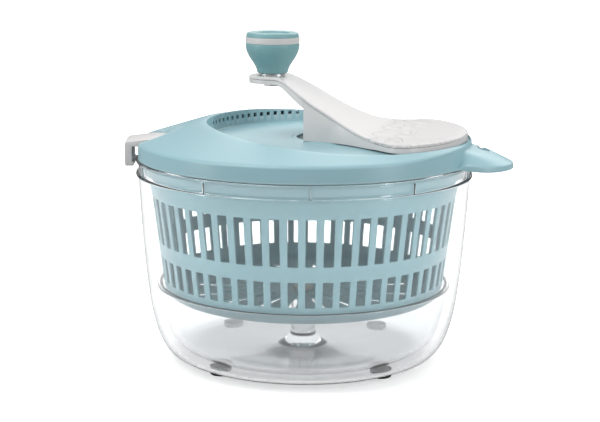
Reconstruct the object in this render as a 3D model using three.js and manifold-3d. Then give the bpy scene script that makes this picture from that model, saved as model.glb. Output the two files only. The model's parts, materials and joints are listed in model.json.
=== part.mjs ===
// A hand-cranked salad spinner: a clear bowl on rubber feet, a clear drip tray, a slotted basket
// on a centre pivot, and a geared lid with a crank, a knob and a rim latch.
// Millimetres, +Z up. The origin is on the bowl's axis, in the plane of the bowl's underside.
// +X runs from that axis towards the lid's tab, and the latch is nearly opposite, turned towards -Y.
import * as THREE from "three";
import { mergeVertices } from "three/addons/utils/BufferGeometryUtils.js";
import Module from "manifold-3d";

const wasm = await Module();
wasm.setup();

// ---- Driving dimensions ------------------------------------------------------------------------
const FIT = 0.3; // clearance between pieces that fit or rest on each other

// Bowl and feet
const LID_R = 125; // outside of the lid's skirt
const BOWL_HEIGHT = 149.1; // underside to the top of the lip
const BOWL_WALL = 2.6;
const BOWL_BASE_R = 92; // edge of the flat underside
const BOWL_CORNER_Z = 37; // where the round corner runs into the wall
const BOWL_FLARE = 8.6; // the wall leans out by this from the corner to the rim
const LIP_REACH = 1.8; // lip and bead stand out from the wall by this
const LIP_THICK = 1.9;
const BEAD_DROP = 10; // bead below the lip
const BEAD_THICK = 1.6;
const FOOT_R = 8;
const FOOT_HEIGHT = 4;
const FOOT_CIRCLE_R = 83; // feet centres from the axis
const FOOT_TURN = 12; // degrees that the feet are turned from the tab's axis
const FOOT_PLUG_R = 4;
const FOOT_PLUG_HEIGHT = 1;

// Drip tray and pivot
const TRAY_RIM_RISE = 10.6; // rim above the underside of the basket's floor
const TRAY_WALL = 2;
const TRAY_BASE_R = 72;
const TRAY_CORNER_Z = 26;
const TRAY_FLARE = 4.5;
const TRAY_GAP = 6.9; // tray wall to the foot of the bowl's wall
const TRAY_FLANGE = 2.2;
const TRAY_FLANGE_THICK = 1.6;
const POST_BASE_R = 17;
const POST_TOP_R = 9;
const POST_FOOT = 8; // height of the post's wide foot
const PIVOT_DEPTH = 12; // pin down inside the post
const PIVOT_R = 3;
const BUSH_R = 7.7;
const BUSH_FLANGE_R = 11;
const BUSH_FLANGE = 4.4;

// Basket
const BASKET_FLOOR_Z = 45; // underside of the basket's floor
const BASKET_TOP_DROP = 8.1; // basket's top below the bowl's
const BASKET_WALL = 2;
const BASKET_GAP = 5.3; // basket wall to the bowl's inside, at the top
const BASKET_FLARE = 10.5; // the wall leans out by this from its corner to the top
const BASKET_CORNER = 10;
const BASKET_LIP = 2;
const BASKET_LIP_THICK = 1.8;
const SLOTS = 56; // slots round each row
const SLOT_FILL = 0.58; // share of the pitch that is open
const UPPER_ROW = [0.461, 0.816]; // slot ends, as shares of the basket's height
const LOWER_ROW = [0.151, 0.344];
const FLOOR_SLOTS = 16;
const FLOOR_SLOT_WIDTH = 4.4;
const FLOOR_SLOT_START = 26; // from the axis
const RIBS = 6; // inner ribs that the drive disc takes the basket round by
const RIB_WIDTH = 4;
const RIB_DEPTH = 3.2;
const RIB_HEIGHT = 11;

// Lid
const LID_WALL = 2.4;
const SKIRT_HEIGHT = 12.6;
const SHOULDER = 1.6; // rounding at the top of the skirt
const CREST_R = 77; // the lid's cone ends here, at its highest
const CREST_RISE = 15; // shoulder to crest
const PLUG_DEPTH = 9.4; // ring that drops into the bowl's mouth
const PLUG_WALL = 2;
const CRANK_OFFSET = 26; // crank axis from the bowl's axis, towards the tab
const DISH_DEPTH = 15; // skirt's lower edge to the dish's floor
const DISH_LIP = 1.4; // wall round the dish at the tab side
const DISH_LIP_HEIGHT = 2;
const HUB_HOLE_R = 31;
const DRAINS = 16;
const DRAIN_SIZE = 3;
const DRAIN_ARC = [122, 179]; // degrees about the crank axis, from the tab
const DRAIN_RISE = 7; // drains above the dish's floor

// Tab
const TAB_REACH = 32;
const TAB_HALF_WIDTH = 36;
const TAB_ROOT_TOP = 11; // above the skirt's lower edge
const TAB_TIP_TOP = 2;
const TAB_TIP_THICK = 4.4;
const TAB_HOLE_LENGTH = 26;
const TAB_HOLE_R = 4;

// Latch
const LATCH_WIDTH = 36;
const LATCH_TURN = 16; // degrees that the latch is turned from the tab's axis, towards -Y
const LATCH_CAP = 3.4;
const LATCH_REACH = 9.5; // outer face beyond the skirt
const LATCH_LEG = 6.3;
const LATCH_ROOM = 1.4; // recess round the cap
const LATCH_PIN_R = 1.5;
const LATCH_PIN_IN = 6; // pin inside the skirt
const LATCH_PIN_Z = 8; // pin above the skirt's lower edge
const LATCH_POCKET_DEPTH = 11.4; // shoulder to the pocket's floor
const HOOK_DROP = 4.6; // leg below the skirt's lower edge

// Crank
const ARM_RISE = 38; // paddle top to knob end top
const ARM_THICK = 5.5;
const SKIN = 2; // thickness of the top cover
const PADDLE_TOP = 7.2; // above the dish's floor
const PADDLE_THICK = 6; // from the paddle's top to its underside
const PADDLE_SPREAD = 45; // degrees to each side of the arm
const BLOCK_START = 20; // upright left face of the arm's block, from the crank's axis
const PADDLE_GAP = 1.5; // paddle end to the dish's wall
const CRANK_RADIUS = 51;
const ARM_END_R = 17.5;
const HUB_R = 24;
const CRANK_SCREW_R = 2.5;

// Knob
const KNOB_FOOT_R = 11.5;
const KNOB_R = 20;
const KNOB_BODY = 22.3;
const KNOB_BAND = 4.5;
const KNOB_CAP = 3.6;
const KNOB_PIN_R = 4;
const KNOB_FLANGE = 1.4;
const NUT_HEIGHT = 2.4;

// Gears
const RING_TEETH = 36;
const PINION_TEETH = 10;
const PRESSURE_ANGLE = THREE.MathUtils.degToRad(25);
const BACKLASH = 0.2;
const GEAR_FACE = 9.2;
const RING_WALL = 4;
const WEB = 3;
const CHAMBER_WALL = 2;
const COVER_PLATE = 2.5;
const BUSH_RIM = 1.4; // thickness of a bush's flange
const SPACER = 1.5; // drive bush's flange, between the cover and the pinion
const COVER_LEDGE = 14; // flange of the cover, outside its wall
const SCREW_R = 1.5;
const SCREW_LENGTH = 9;
const HEAD_R = 3.4;
const HEAD_HEIGHT = 1.7;
const BOSS_R = 4.5;
const SHAFT_R = 4;
const DRIVE_BUSH_WALL = 2;
const DISC_THICK = 2;
const DISC_RIM = 7;
const DISC_HUB_R = 9;
const DISC_GAP = 0.127; // to the basket's leaning wall, at the disc's lower edge

// ---- Places worked out from them ---------------------------------------------------------------
const BOWL_R = LID_R - 0.6;
const BOWL_IN_R = BOWL_R - BOWL_WALL;
const LIP_BOTTOM = BOWL_HEIGHT - LIP_THICK;
const TRAY_Z = BOWL_WALL + FIT;
const TRAY_R = LID_R - BOWL_FLARE - TRAY_GAP;
const TRAY_RIM_Z = BASKET_FLOOR_Z + TRAY_RIM_RISE;
const BASKET_TOP_Z = BOWL_HEIGHT - BASKET_TOP_DROP;
const POST_TOP_Z = BASKET_FLOOR_Z - FIT - BUSH_FLANGE;
const PIVOT_TOP_Z = BASKET_FLOOR_Z + BASKET_WALL + 3;
const BASKET_R = BOWL_IN_R - BASKET_GAP;
const SKIRT_Z = BOWL_HEIGHT + FIT;
const SHOULDER_Z = SKIRT_Z + SKIRT_HEIGHT;
const CREST_Z = SHOULDER_Z + CREST_RISE;
const DISH_Z = SKIRT_Z + DISH_DEPTH;
const DISH_R = LID_R - CRANK_OFFSET - DISH_LIP;
const LATCH_HALF = LATCH_WIDTH / 2;
const LATCH_CENTRE = LID_R + LATCH_REACH - LATCH_HALF;
const PIN_X = LID_R - LATCH_PIN_IN;
const PIN_Z = SKIRT_Z + LATCH_PIN_Z;
const ARM_BOTTOM_Z = DISH_Z + 0.8;
const PADDLE_Z = DISH_Z + PADDLE_TOP;
const ARM_TOP_Z = PADDLE_Z + ARM_RISE;
const PADDLE_R = DISH_R - PADDLE_GAP;
const MODULE = (2 * CRANK_OFFSET) / (RING_TEETH - PINION_TEETH);
const TOOTH_TOP = 0.7 * MODULE; // teeth stand this far past the pitch circle
const RING_PITCH_R = (MODULE * RING_TEETH) / 2;
const RING_ROOT_R = RING_PITCH_R + MODULE;
const RING_R = RING_ROOT_R + RING_WALL;
const BUSH_TOP_Z = DISH_Z - 1;
const BUSH_BOTTOM_Z = DISH_Z - LID_WALL - FIT - BUSH_RIM;
const WEB_TOP_Z = BUSH_BOTTOM_Z - FIT;
const TEETH_TOP_Z = WEB_TOP_Z - WEB;
const RING_BOTTOM_Z = TEETH_TOP_Z - GEAR_FACE - 1.6;
const COVER_TOP_Z = RING_BOTTOM_Z - FIT;
const COVER_Z = COVER_TOP_Z - COVER_PLATE;
const COVER_WALL_R = RING_R + CHAMBER_WALL;
const COVER_R = COVER_WALL_R + CHAMBER_WALL + COVER_LEDGE;
const SCREW_CIRCLE_R = COVER_R - COVER_LEDGE / 2 + 0.5;
const DRIVE_BUSH_R = SHAFT_R + FIT + DRIVE_BUSH_WALL;
const DISC_TOP_Z = BASKET_TOP_Z - 0.8;
const DISC_HUB_Z = COVER_Z - 2.6;
const BASKET_LEAN = BASKET_FLARE / (BASKET_TOP_Z - BASKET_LIP_THICK - BASKET_FLOOR_Z - BASKET_CORNER);
const DISC_R = BASKET_R - BASKET_WALL - DISC_RIM * BASKET_LEAN - DISC_GAP;
const RECESS_HALF = LATCH_HALF + LATCH_ROOM;
const NUT_HOLE_R = KNOB_PIN_R - 1 + FIT;

// ---- Materials ---------------------------------------------------------------------------------
const plastic = (color, roughness) => new THREE.MeshStandardMaterial({ color, roughness, metalness: 0 });
const AQUA = plastic(0x9cc4ca, 0.38);
const DEEP_AQUA = plastic(0x6d9fa9, 0.4);
const WHITE = plastic(0xefedeb, 0.35);
const CLEAR = plastic(0xe6f0f2, 0.08);
const RUBBER = plastic(0x1c1f26, 0.8);
const NYLON = plastic(0xd9d7cf, 0.5);
const STEEL = new THREE.MeshStandardMaterial({ color: 0xb9bcc0, roughness: 0.3, metalness: 1 });

// ---- Solid helpers -----------------------------------------------------------------------------
const V = (x, y) => new THREE.Vector2(x, y);
const rad = THREE.MathUtils.degToRad;
const ROUND = 44; // flats round a vessel or the lid
const ROUND_SMALL = 24; // flats round a knob, a bush or a washer

function solid(geometry) {
  const bare = geometry.clone();
  bare.deleteAttribute("normal");
  bare.deleteAttribute("uv");
  const merged = mergeVertices(bare, 1e-4);
  const triVerts = Uint32Array.from(merged.index.array);
  const vertProperties = merged.attributes.position.array;
  return new wasm.Manifold(new wasm.Mesh({ numProp: 3, vertProperties, triVerts }));
}

function geometryOf(body) {
  const mesh = body.getMesh();
  const geometry = new THREE.BufferGeometry();
  geometry.setAttribute("position", new THREE.BufferAttribute(mesh.vertProperties, 3));
  geometry.setIndex(new THREE.BufferAttribute(mesh.triVerts, 1));
  geometry.computeVertexNormals();
  return geometry;
}

// A solid of revolution about Z. Profile points are (radius, height), up the outside.
function turned(points, sides, x = 0, y = 0) {
  return solid(new THREE.LatheGeometry(points, sides).rotateX(Math.PI / 2).translate(x, y, 0));
}

function ring(inner, outer, bottom, top, sides, x = 0, y = 0) {
  const corners = [V(inner, bottom), V(outer, bottom), V(outer, top), V(inner, top), V(inner, bottom)];
  return turned(corners, sides, x, y);
}

function cylinder(radius, bottom, top, sides, x = 0, y = 0) {
  return turned([V(0, bottom), V(radius, bottom), V(radius, top), V(0, top)], sides, x, y);
}

// An outline in the XY plane, raised from one height to another.
function raised(outline, bottom, top, curveSegments = 8) {
  const shape = Array.isArray(outline) ? new THREE.Shape(outline) : outline;
  const options = { depth: top - bottom, bevelEnabled: false, curveSegments };
  return solid(new THREE.ExtrudeGeometry(shape, options).translate(0, 0, bottom));
}

// A side view in the XZ plane, widened evenly to both sides of Y = 0.
function widened(outline, width, curveSegments = 8) {
  const shape = Array.isArray(outline) ? new THREE.Shape(outline) : outline;
  const options = { depth: width, bevelEnabled: false, curveSegments };
  return solid(new THREE.ExtrudeGeometry(shape, options).rotateX(Math.PI / 2).translate(0, width / 2, 0));
}

function block(x0, x1, y0, y1, z0, z1, turn = 0, cx = 0, cy = 0) {
  const box = new THREE.BoxGeometry(x1 - x0, y1 - y0, z1 - z0);
  box.translate((x0 + x1) / 2, (y0 + y1) / 2, (z0 + z1) / 2);
  return solid(box.rotateZ(turn).translate(cx, cy, 0));
}

const joined = (bodies) => bodies.reduce((all, body) => all.add(body));
const around = (count, make) => Array.from({ length: count }, (_, i) => make((i * 2 * Math.PI) / count, i));

// The inner face of a wall whose outer points run outwards and up.
function inset(points, wall) {
  return points.map((p, i) => {
    const before = points[Math.max(i - 1, 0)];
    const after = points[Math.min(i + 1, points.length - 1)];
    const run = after.clone().sub(before).normalize();
    return V(p.x - run.y * wall, p.y + run.x * wall);
  });
}

// A vessel's outer face: flat base, soft corner, and a wall that leans out to the rim.
function vesselFace(baseR, baseZ, cornerR, cornerZ, rimR, rimZ) {
  const face = new THREE.Path();
  const rise = cornerZ - baseZ;
  face.moveTo(baseR, baseZ);
  face.bezierCurveTo(baseR + 0.56 * (cornerR - baseR), baseZ, cornerR - 0.12 * rise, baseZ + 0.38 * rise,
    cornerR, cornerZ);
  face.quadraticCurveTo(cornerR + 0.6 * (rimR - cornerR), cornerZ + 0.32 * (rimZ - cornerZ), rimR, rimZ);
  return face.getPoints(4);
}

// ---- Bowl --------------------------------------------------------------------------------------
function footPlaces() {
  return around(4, (angle) => {
    const turn = angle + rad(FOOT_TURN + 45);
    return V(FOOT_CIRCLE_R * Math.cos(turn), FOOT_CIRCLE_R * Math.sin(turn));
  });
}

function makeBowl() {
  const beadTop = LIP_BOTTOM - BEAD_DROP + BEAD_THICK;
  const wall = vesselFace(BOWL_BASE_R, 0, BOWL_R - BOWL_FLARE, BOWL_CORNER_Z, BOWL_R, beadTop - BEAD_THICK);
  const inner = inset(wall, BOWL_WALL);
  const outerR = BOWL_R + LIP_REACH;
  const profile = [
    V(0, 0),
    ...wall,
    V(outerR, beadTop - BEAD_THICK + 0.5),
    V(outerR, beadTop - 0.3),
    V(BOWL_R, beadTop),
    V(BOWL_R, LIP_BOTTOM - 0.4),
    V(outerR, LIP_BOTTOM),
    V(outerR, BOWL_HEIGHT),
    V(BOWL_IN_R, BOWL_HEIGHT),
    ...inner.reverse(),
    V(0, BOWL_WALL),
  ];
  const socket = (place) => cylinder(FOOT_PLUG_R + FIT, -1, FOOT_PLUG_HEIGHT + FIT, 12, place.x, place.y);
  return turned(profile, ROUND).subtract(joined(footPlaces().map(socket)));
}

function makeFoot(place) {
  const profile = [
    V(0, -FOOT_HEIGHT),
    V(FOOT_R - 0.8, -FOOT_HEIGHT),
    V(FOOT_R, -FOOT_HEIGHT + 0.8),
    V(FOOT_R, 0),
    V(FOOT_PLUG_R, 0),
    V(FOOT_PLUG_R, FOOT_PLUG_HEIGHT),
    V(0, FOOT_PLUG_HEIGHT),
  ];
  return turned(profile, 16, place.x, place.y);
}

// ---- Drip tray and pivot -----------------------------------------------------------------------
function makeTray() {
  const flangeR = TRAY_R + TRAY_FLANGE;
  const wall = vesselFace(TRAY_BASE_R, TRAY_Z, TRAY_R - TRAY_FLARE, TRAY_CORNER_Z, TRAY_R,
    TRAY_RIM_Z - TRAY_FLANGE_THICK);
  const inner = inset(wall, TRAY_WALL);
  const floorZ = TRAY_Z + TRAY_WALL;
  const profile = [
    V(0, TRAY_Z),
    ...wall,
    V(flangeR, TRAY_RIM_Z - TRAY_FLANGE_THICK),
    V(flangeR, TRAY_RIM_Z),
    V(TRAY_R - TRAY_WALL, TRAY_RIM_Z),
    ...inner.reverse(),
    V(POST_BASE_R, floorZ),
    V(POST_TOP_R, floorZ + POST_FOOT),
    V(POST_TOP_R, POST_TOP_Z),
    V(PIVOT_R + FIT, POST_TOP_Z),
    V(PIVOT_R + FIT, POST_TOP_Z - PIVOT_DEPTH),
    V(0, POST_TOP_Z - PIVOT_DEPTH),
  ];
  return turned(profile, 36);
}

const makePivotPin = () => cylinder(PIVOT_R, POST_TOP_Z - PIVOT_DEPTH, PIVOT_TOP_Z, 16);

function makePivotBush() {
  const top = PIVOT_TOP_Z - 1;
  const profile = [
    V(PIVOT_R + FIT, POST_TOP_Z),
    V(BUSH_FLANGE_R, POST_TOP_Z),
    V(BUSH_FLANGE_R, BASKET_FLOOR_Z - FIT),
    V(BUSH_R, BASKET_FLOOR_Z - FIT),
    V(BUSH_R, top),
    V(PIVOT_R + FIT, top),
    V(PIVOT_R + FIT, POST_TOP_Z),
  ];
  return turned(profile, ROUND_SMALL);
}

// ---- Basket ------------------------------------------------------------------------------------
function makeBasket() {
  const cornerR = BASKET_R - BASKET_FLARE;
  const cornerZ = BASKET_FLOOR_Z + BASKET_CORNER;
  const lipZ = BASKET_TOP_Z - BASKET_LIP_THICK;
  const face = new THREE.Path();
  face.moveTo(cornerR - BASKET_CORNER - 4, BASKET_FLOOR_Z);
  face.quadraticCurveTo(cornerR - 1, BASKET_FLOOR_Z + 1, cornerR, cornerZ);
  face.lineTo(BASKET_R, lipZ);
  const wall = face.getPoints(3);
  const inner = inset(wall, BASKET_WALL);
  const hubR = BUSH_R + FIT;
  const floorTop = BASKET_FLOOR_Z + BASKET_WALL;
  const profile = [
    V(hubR, BASKET_FLOOR_Z),
    ...wall,
    V(BASKET_R + BASKET_LIP, lipZ),
    V(BASKET_R + BASKET_LIP, BASKET_TOP_Z),
    V(BASKET_R - BASKET_WALL, BASKET_TOP_Z),
    ...inner.reverse(),
    V(hubR, floorTop),
    V(hubR, BASKET_FLOOR_Z),
  ];
  const pitch = (2 * Math.PI * BASKET_R) / SLOTS;
  const half = (pitch * SLOT_FILL) / 2;
  const level = (share) => BASKET_FLOOR_Z + share * (BASKET_TOP_Z - BASKET_FLOOR_Z);
  const slot = (row) => (angle) =>
    block(cornerR - 12, BASKET_R + 12, -half, half, level(row[0]), level(row[1]), angle + Math.PI / SLOTS);
  const floorHalf = FLOOR_SLOT_WIDTH / 2;
  const floorSlot = (angle) =>
    block(FLOOR_SLOT_START, cornerR - 22, -floorHalf, floorHalf, BASKET_FLOOR_Z - 5, floorTop + 5, angle);
  const ribHalf = RIB_WIDTH / 2;
  const ribIn = BASKET_R - BASKET_WALL - RIB_DEPTH;
  const rib = (angle) => block(ribIn, BASKET_R - 0.8, -ribHalf, ribHalf, lipZ - RIB_HEIGHT, lipZ, angle);
  return turned(profile, SLOTS)
    .subtract(joined(around(SLOTS, slot(UPPER_ROW))))
    .subtract(joined(around(SLOTS, slot(LOWER_ROW))))
    .subtract(joined(around(FLOOR_SLOTS, floorSlot)))
    .add(joined(around(RIBS, rib)));
}

// ---- Lid ---------------------------------------------------------------------------------------
// The lid's outside without its dish, grown or shrunk by a wall.
function lidBulk(wall, bottom) {
  const r = LID_R - wall;
  const profile = [
    V(0, bottom),
    V(r, bottom),
    V(r, SHOULDER_Z - SHOULDER - wall / 2),
    V(r - SHOULDER, SHOULDER_Z - wall),
    V(CREST_R + 4, CREST_Z - 1.2 - wall),
    V(CREST_R - 4, CREST_Z - wall),
    V(0, CREST_Z - wall),
  ];
  const cone = turned(profile, ROUND);
  const deckR = DISH_R + DISH_LIP - wall;
  const deck = cylinder(deckR, bottom, DISH_Z + DISH_LIP_HEIGHT - wall, ROUND, CRANK_OFFSET);
  return cone.add(deck);
}

const dishSpace = (grow) => cylinder(DISH_R + grow, DISH_Z - grow, CREST_Z + 20, ROUND, CRANK_OFFSET);

// Plan of the latch, or of the recess round it: a round inner end and straight sides.
function latchPlan(half, outer, bottom, top) {
  const round = cylinder(half, bottom, top, ROUND_SMALL, -LATCH_CENTRE);
  return round.add(block(-outer, -LATCH_CENTRE, -half, half, bottom, top));
}

function makeTab() {
  const root = LID_R - 12;
  const tip = LID_R + TAB_REACH;
  const outline = new THREE.Shape();
  outline.moveTo(root, -TAB_HALF_WIDTH);
  outline.lineTo(LID_R - 6, -TAB_HALF_WIDTH);
  outline.bezierCurveTo(LID_R + 14, -TAB_HALF_WIDTH + 9, tip, -15, tip, 0);
  outline.bezierCurveTo(tip, 15, LID_R + 14, TAB_HALF_WIDTH - 9, LID_R - 6, TAB_HALF_WIDTH);
  outline.lineTo(root, TAB_HALF_WIDTH);
  const side = new THREE.Shape();
  const tipTop = SKIRT_Z + TAB_TIP_TOP;
  side.moveTo(root, SKIRT_Z);
  side.lineTo(LID_R, SKIRT_Z + 1);
  side.quadraticCurveTo(LID_R + 14, SKIRT_Z + 3, tip + 1, tipTop - TAB_TIP_THICK);
  side.lineTo(tip + 1, tipTop);
  side.quadraticCurveTo(LID_R + 18, SKIRT_Z + TAB_ROOT_TOP - 1, LID_R - 4, SKIRT_Z + TAB_ROOT_TOP);
  side.lineTo(root, SKIRT_Z + TAB_ROOT_TOP);
  const tongue = raised(outline, SKIRT_Z - 20, SKIRT_Z + 30, 7);
  return tongue.intersect(widened(side, 4 * TAB_HALF_WIDTH, 6));
}

// Teardrop through the tab, with its round end near the middle and its point towards +Y.
function tabHole() {
  const drop = new THREE.Shape();
  drop.absarc(0, 0, TAB_HOLE_R, Math.PI, 2 * Math.PI, false);
  drop.quadraticCurveTo(TAB_HOLE_R, TAB_HOLE_LENGTH / 2, -1, TAB_HOLE_LENGTH - TAB_HOLE_R);
  drop.quadraticCurveTo(-TAB_HOLE_R, TAB_HOLE_LENGTH / 2, -TAB_HOLE_R, 0);
  const options = { depth: 60, bevelEnabled: false, curveSegments: 6 };
  const cut = new THREE.ExtrudeGeometry(drop, options).rotateZ(rad(10));
  return solid(cut.translate(LID_R + TAB_HOLE_R + 5.5, 12, SKIRT_Z - 20));
}

function screwPlaces() {
  return around(4, (angle) => {
    const turn = angle + Math.PI / 4;
    return V(CRANK_OFFSET + SCREW_CIRCLE_R * Math.cos(turn), SCREW_CIRCLE_R * Math.sin(turn));
  });
}

function makeLid() {
  const inside = lidBulk(LID_WALL, SKIRT_Z - 10).subtract(dishSpace(LID_WALL));
  const outside = lidBulk(0, SKIRT_Z).subtract(dishSpace(0));
  const plugR = BOWL_IN_R - 3 * FIT;
  const plug = ring(plugR - PLUG_WALL, plugR, SKIRT_Z, CREST_Z, ROUND).intersect(outside);
  const lowPlug = ring(plugR - PLUG_WALL, plugR, SKIRT_Z - PLUG_DEPTH, SKIRT_Z + 1, ROUND);
  const boss = (p) => cylinder(BOSS_R, COVER_TOP_Z, DISH_Z - 1, 12, p.x, p.y);
  const pilot = (p) => cylinder(SCREW_R + FIT, COVER_TOP_Z - 1, COVER_TOP_Z + SCREW_LENGTH, 8, p.x, p.y);

  const pocketZ = SHOULDER_Z - LATCH_POCKET_DEPTH;
  const tub = latchPlan(RECESS_HALF + LID_WALL, LID_R, pocketZ - LID_WALL, CREST_Z);
  const pocketWall = atLatch(tub).intersect(outside);
  const pocket = latchPlan(RECESS_HALF, LID_R + 20, pocketZ, CREST_Z + 20);
  const gate = block(-LID_R - 20, -LID_R + LID_WALL, -RECESS_HALF, RECESS_HALF, SKIRT_Z - 1, CREST_Z);
  const pinHole = new THREE.CylinderGeometry(LATCH_PIN_R + FIT, LATCH_PIN_R + FIT, 2 * RECESS_HALF + 3, 12);
  const pinBore = solid(pinHole.translate(-PIN_X, 0, PIN_Z));

  const step = (DRAIN_ARC[1] - DRAIN_ARC[0]) / (DRAINS - 1);
  const drainZ = DISH_Z + DRAIN_RISE;
  const drain = (_, i) => {
    const turn = rad(DRAIN_ARC[0] + i * step);
    const half = DRAIN_SIZE / 2;
    return block(DISH_R - 4, DISH_R + 6, -half, half, drainZ - half, drainZ + half, turn, CRANK_OFFSET);
  };
  const drains = Array.from({ length: DRAINS }, drain);

  return outside
    .subtract(inside)
    .add(plug)
    .add(lowPlug)
    .add(joined(screwPlaces().map(boss)))
    .subtract(joined(screwPlaces().map(pilot)))
    .add(pocketWall)
    .add(makeTab().subtract(inside).subtract(dishSpace(0)))
    .subtract(atLatch(pocket.add(gate).add(pinBore)))
    .subtract(tabHole())
    .subtract(cylinder(HUB_HOLE_R, DISH_Z - 20, DISH_Z + 5, ROUND_SMALL, CRANK_OFFSET))
    .subtract(joined(drains));
}

// ---- Latch -------------------------------------------------------------------------------------
const atLatch = (body) => body.rotate([0, 0, LATCH_TURN]);

function makeLatch() {
  const outer = LID_R + LATCH_REACH;
  const inner = outer - LATCH_WIDTH;
  const legIn = outer - LATCH_LEG;
  const top = SHOULDER_Z + 3.4;
  const hookZ = SKIRT_Z - HOOK_DROP;
  const nose = BOWL_R + LIP_REACH + FIT;
  const eye = LATCH_PIN_R + 2;
  const side = new THREE.Shape();
  side.moveTo(-outer, hookZ + 1);
  side.lineTo(-outer + 1, hookZ);
  side.lineTo(-nose - 0.6, hookZ);
  side.lineTo(-nose, hookZ + 0.6);
  side.lineTo(-nose, LIP_BOTTOM - FIT);
  side.lineTo(-legIn, LIP_BOTTOM - FIT + 1);
  side.lineTo(-legIn, PIN_Z + 1.5);
  side.lineTo(-PIN_X - eye, PIN_Z + 1);
  side.absarc(-PIN_X, PIN_Z, eye, Math.PI, 2 * Math.PI, false);
  side.lineTo(-PIN_X + eye, top - LATCH_CAP - 0.8);
  side.lineTo(-inner, top - LATCH_CAP);
  side.lineTo(-inner, top - 0.8);
  side.lineTo(-inner - 1.5, top);
  side.lineTo(-outer + 6, top - 3.4);
  side.quadraticCurveTo(-outer, top - 4.2, -outer, top - 9);
  const bore = new THREE.CylinderGeometry(LATCH_PIN_R + FIT, LATCH_PIN_R + FIT, 2 * LATCH_WIDTH, 12);
  const latch = widened(side, 2 * LATCH_WIDTH, 5)
    .intersect(latchPlan(LATCH_HALF, outer + 5, hookZ - 5, top + 5))
    .intersect(cylinder(outer, hookZ - 5, top + 5, 2 * ROUND))
    .subtract(solid(bore.translate(-PIN_X, 0, PIN_Z)));
  return atLatch(latch);
}

function makeLatchPin() {
  const length = 2 * RECESS_HALF + 1.8;
  const pin = new THREE.CylinderGeometry(LATCH_PIN_R, LATCH_PIN_R, length, 12);
  return atLatch(solid(pin.translate(-PIN_X, 0, PIN_Z)));
}

// ---- Crank -------------------------------------------------------------------------------------
// Top line of the arm: level at the knob, down an S-shaped neck, and level along the paddle.
function armTop(drop) {
  const top = new THREE.Path();
  const end = -CRANK_RADIUS - ARM_END_R;
  top.moveTo(end - 3, ARM_TOP_Z);
  top.lineTo(-CRANK_RADIUS + 7, ARM_TOP_Z);
  top.bezierCurveTo(-36, ARM_TOP_Z, -30, PADDLE_Z + 0.83 * ARM_RISE, -20, PADDLE_Z + 0.67 * ARM_RISE);
  top.bezierCurveTo(2, PADDLE_Z + 0.32 * ARM_RISE, 16, PADDLE_Z + 0.9, 50, PADDLE_Z);
  top.lineTo(PADDLE_R + 5, PADDLE_Z);
  return top.getPoints(7).map((p) => V(p.x, p.y - drop));
}

// Plan of the arm, shrunk by a margin: round knob end, waist, and a fan cut round to the dish.
function armPlan(bottom, top) {
  const plan = new THREE.Shape();
  const spread = rad(PADDLE_SPREAD);
  const corner = V(PADDLE_R * Math.cos(spread), PADDLE_R * Math.sin(spread));
  const side = V(0.52 * PADDLE_R, 0.715 * PADDLE_R);
  const cheek = V(0.6 * PADDLE_R, 0.783 * PADDLE_R);
  plan.absarc(-CRANK_RADIUS, 0, ARM_END_R, Math.PI / 2, 1.5 * Math.PI, false);
  plan.bezierCurveTo(-36, -ARM_END_R - 0.5, -28, -30, -8, -32);
  plan.bezierCurveTo(14, -33.5, 30, -52, side.x, -side.y);
  plan.quadraticCurveTo(cheek.x, -cheek.y, corner.x, -corner.y);
  plan.absarc(0, 0, PADDLE_R, -spread, spread, false);
  plan.quadraticCurveTo(cheek.x, cheek.y, side.x, side.y);
  plan.bezierCurveTo(30, 52, 14, 33.5, -8, 32);
  plan.bezierCurveTo(-28, 30, -36, ARM_END_R + 0.5, -CRANK_RADIUS, ARM_END_R);
  return raised(plan, bottom, top, 8);
}

function makeCrankCover() {
  const skin = widened([...armTop(SKIN).reverse(), ...armTop(0)].reverse(), 400);
  const hole = cylinder(NUT_HOLE_R, ARM_TOP_Z - 20, ARM_TOP_Z + 20, 12, -CRANK_RADIUS);
  return skin.intersect(armPlan(DISH_Z - 20, ARM_TOP_Z + 20)).subtract(hole).translate([CRANK_OFFSET, 0, 0]);
}

function makeCrankArm() {
  const blockLeft = -BLOCK_START;
  const underside = armTop(ARM_THICK).filter((p) => p.x < blockLeft);
  const outline = [
    ...underside,
    V(blockLeft, underside.at(-1).y - 2),
    V(blockLeft, ARM_BOTTOM_Z),
    V(HUB_R + 8, ARM_BOTTOM_Z),
    V(HUB_R + 16, PADDLE_Z - PADDLE_THICK),
    V(PADDLE_R + 5, PADDLE_Z - PADDLE_THICK),
    ...armTop(SKIN + 0.2).reverse(),
  ];
  const hollowTop = armTop(SKIN + 3).filter((p) => p.x > blockLeft + 3 && p.x < 40);
  const hollow = [V(hollowTop[0].x, DISH_Z - 5), V(hollowTop.at(-1).x, DISH_Z - 5), ...hollowTop.reverse()];
  const boreTop = ARM_BOTTOM_Z + 2;
  const bore = cylinder(CRANK_SCREW_R + FIT, WEB_TOP_Z - 1, boreTop, 12);
  const hole = cylinder(NUT_HOLE_R, ARM_TOP_Z - 20, ARM_TOP_Z + 20, 12, -CRANK_RADIUS);
  const hubTop = cylinder(HUB_R, ARM_BOTTOM_Z - 1, ARM_BOTTOM_Z + 3.5, ROUND_SMALL);
  return widened(outline, 400)
    .intersect(armPlan(DISH_Z - 20, ARM_TOP_Z + 20))
    .subtract(widened(hollow, 46))
    .add(cylinder(HUB_R, WEB_TOP_Z, ARM_BOTTOM_Z, ROUND_SMALL))
    .add(hubTop.trimByPlane([1, 0, 0], blockLeft))
    .subtract(bore)
    .subtract(hole)
    .translate([CRANK_OFFSET, 0, 0]);
}

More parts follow.
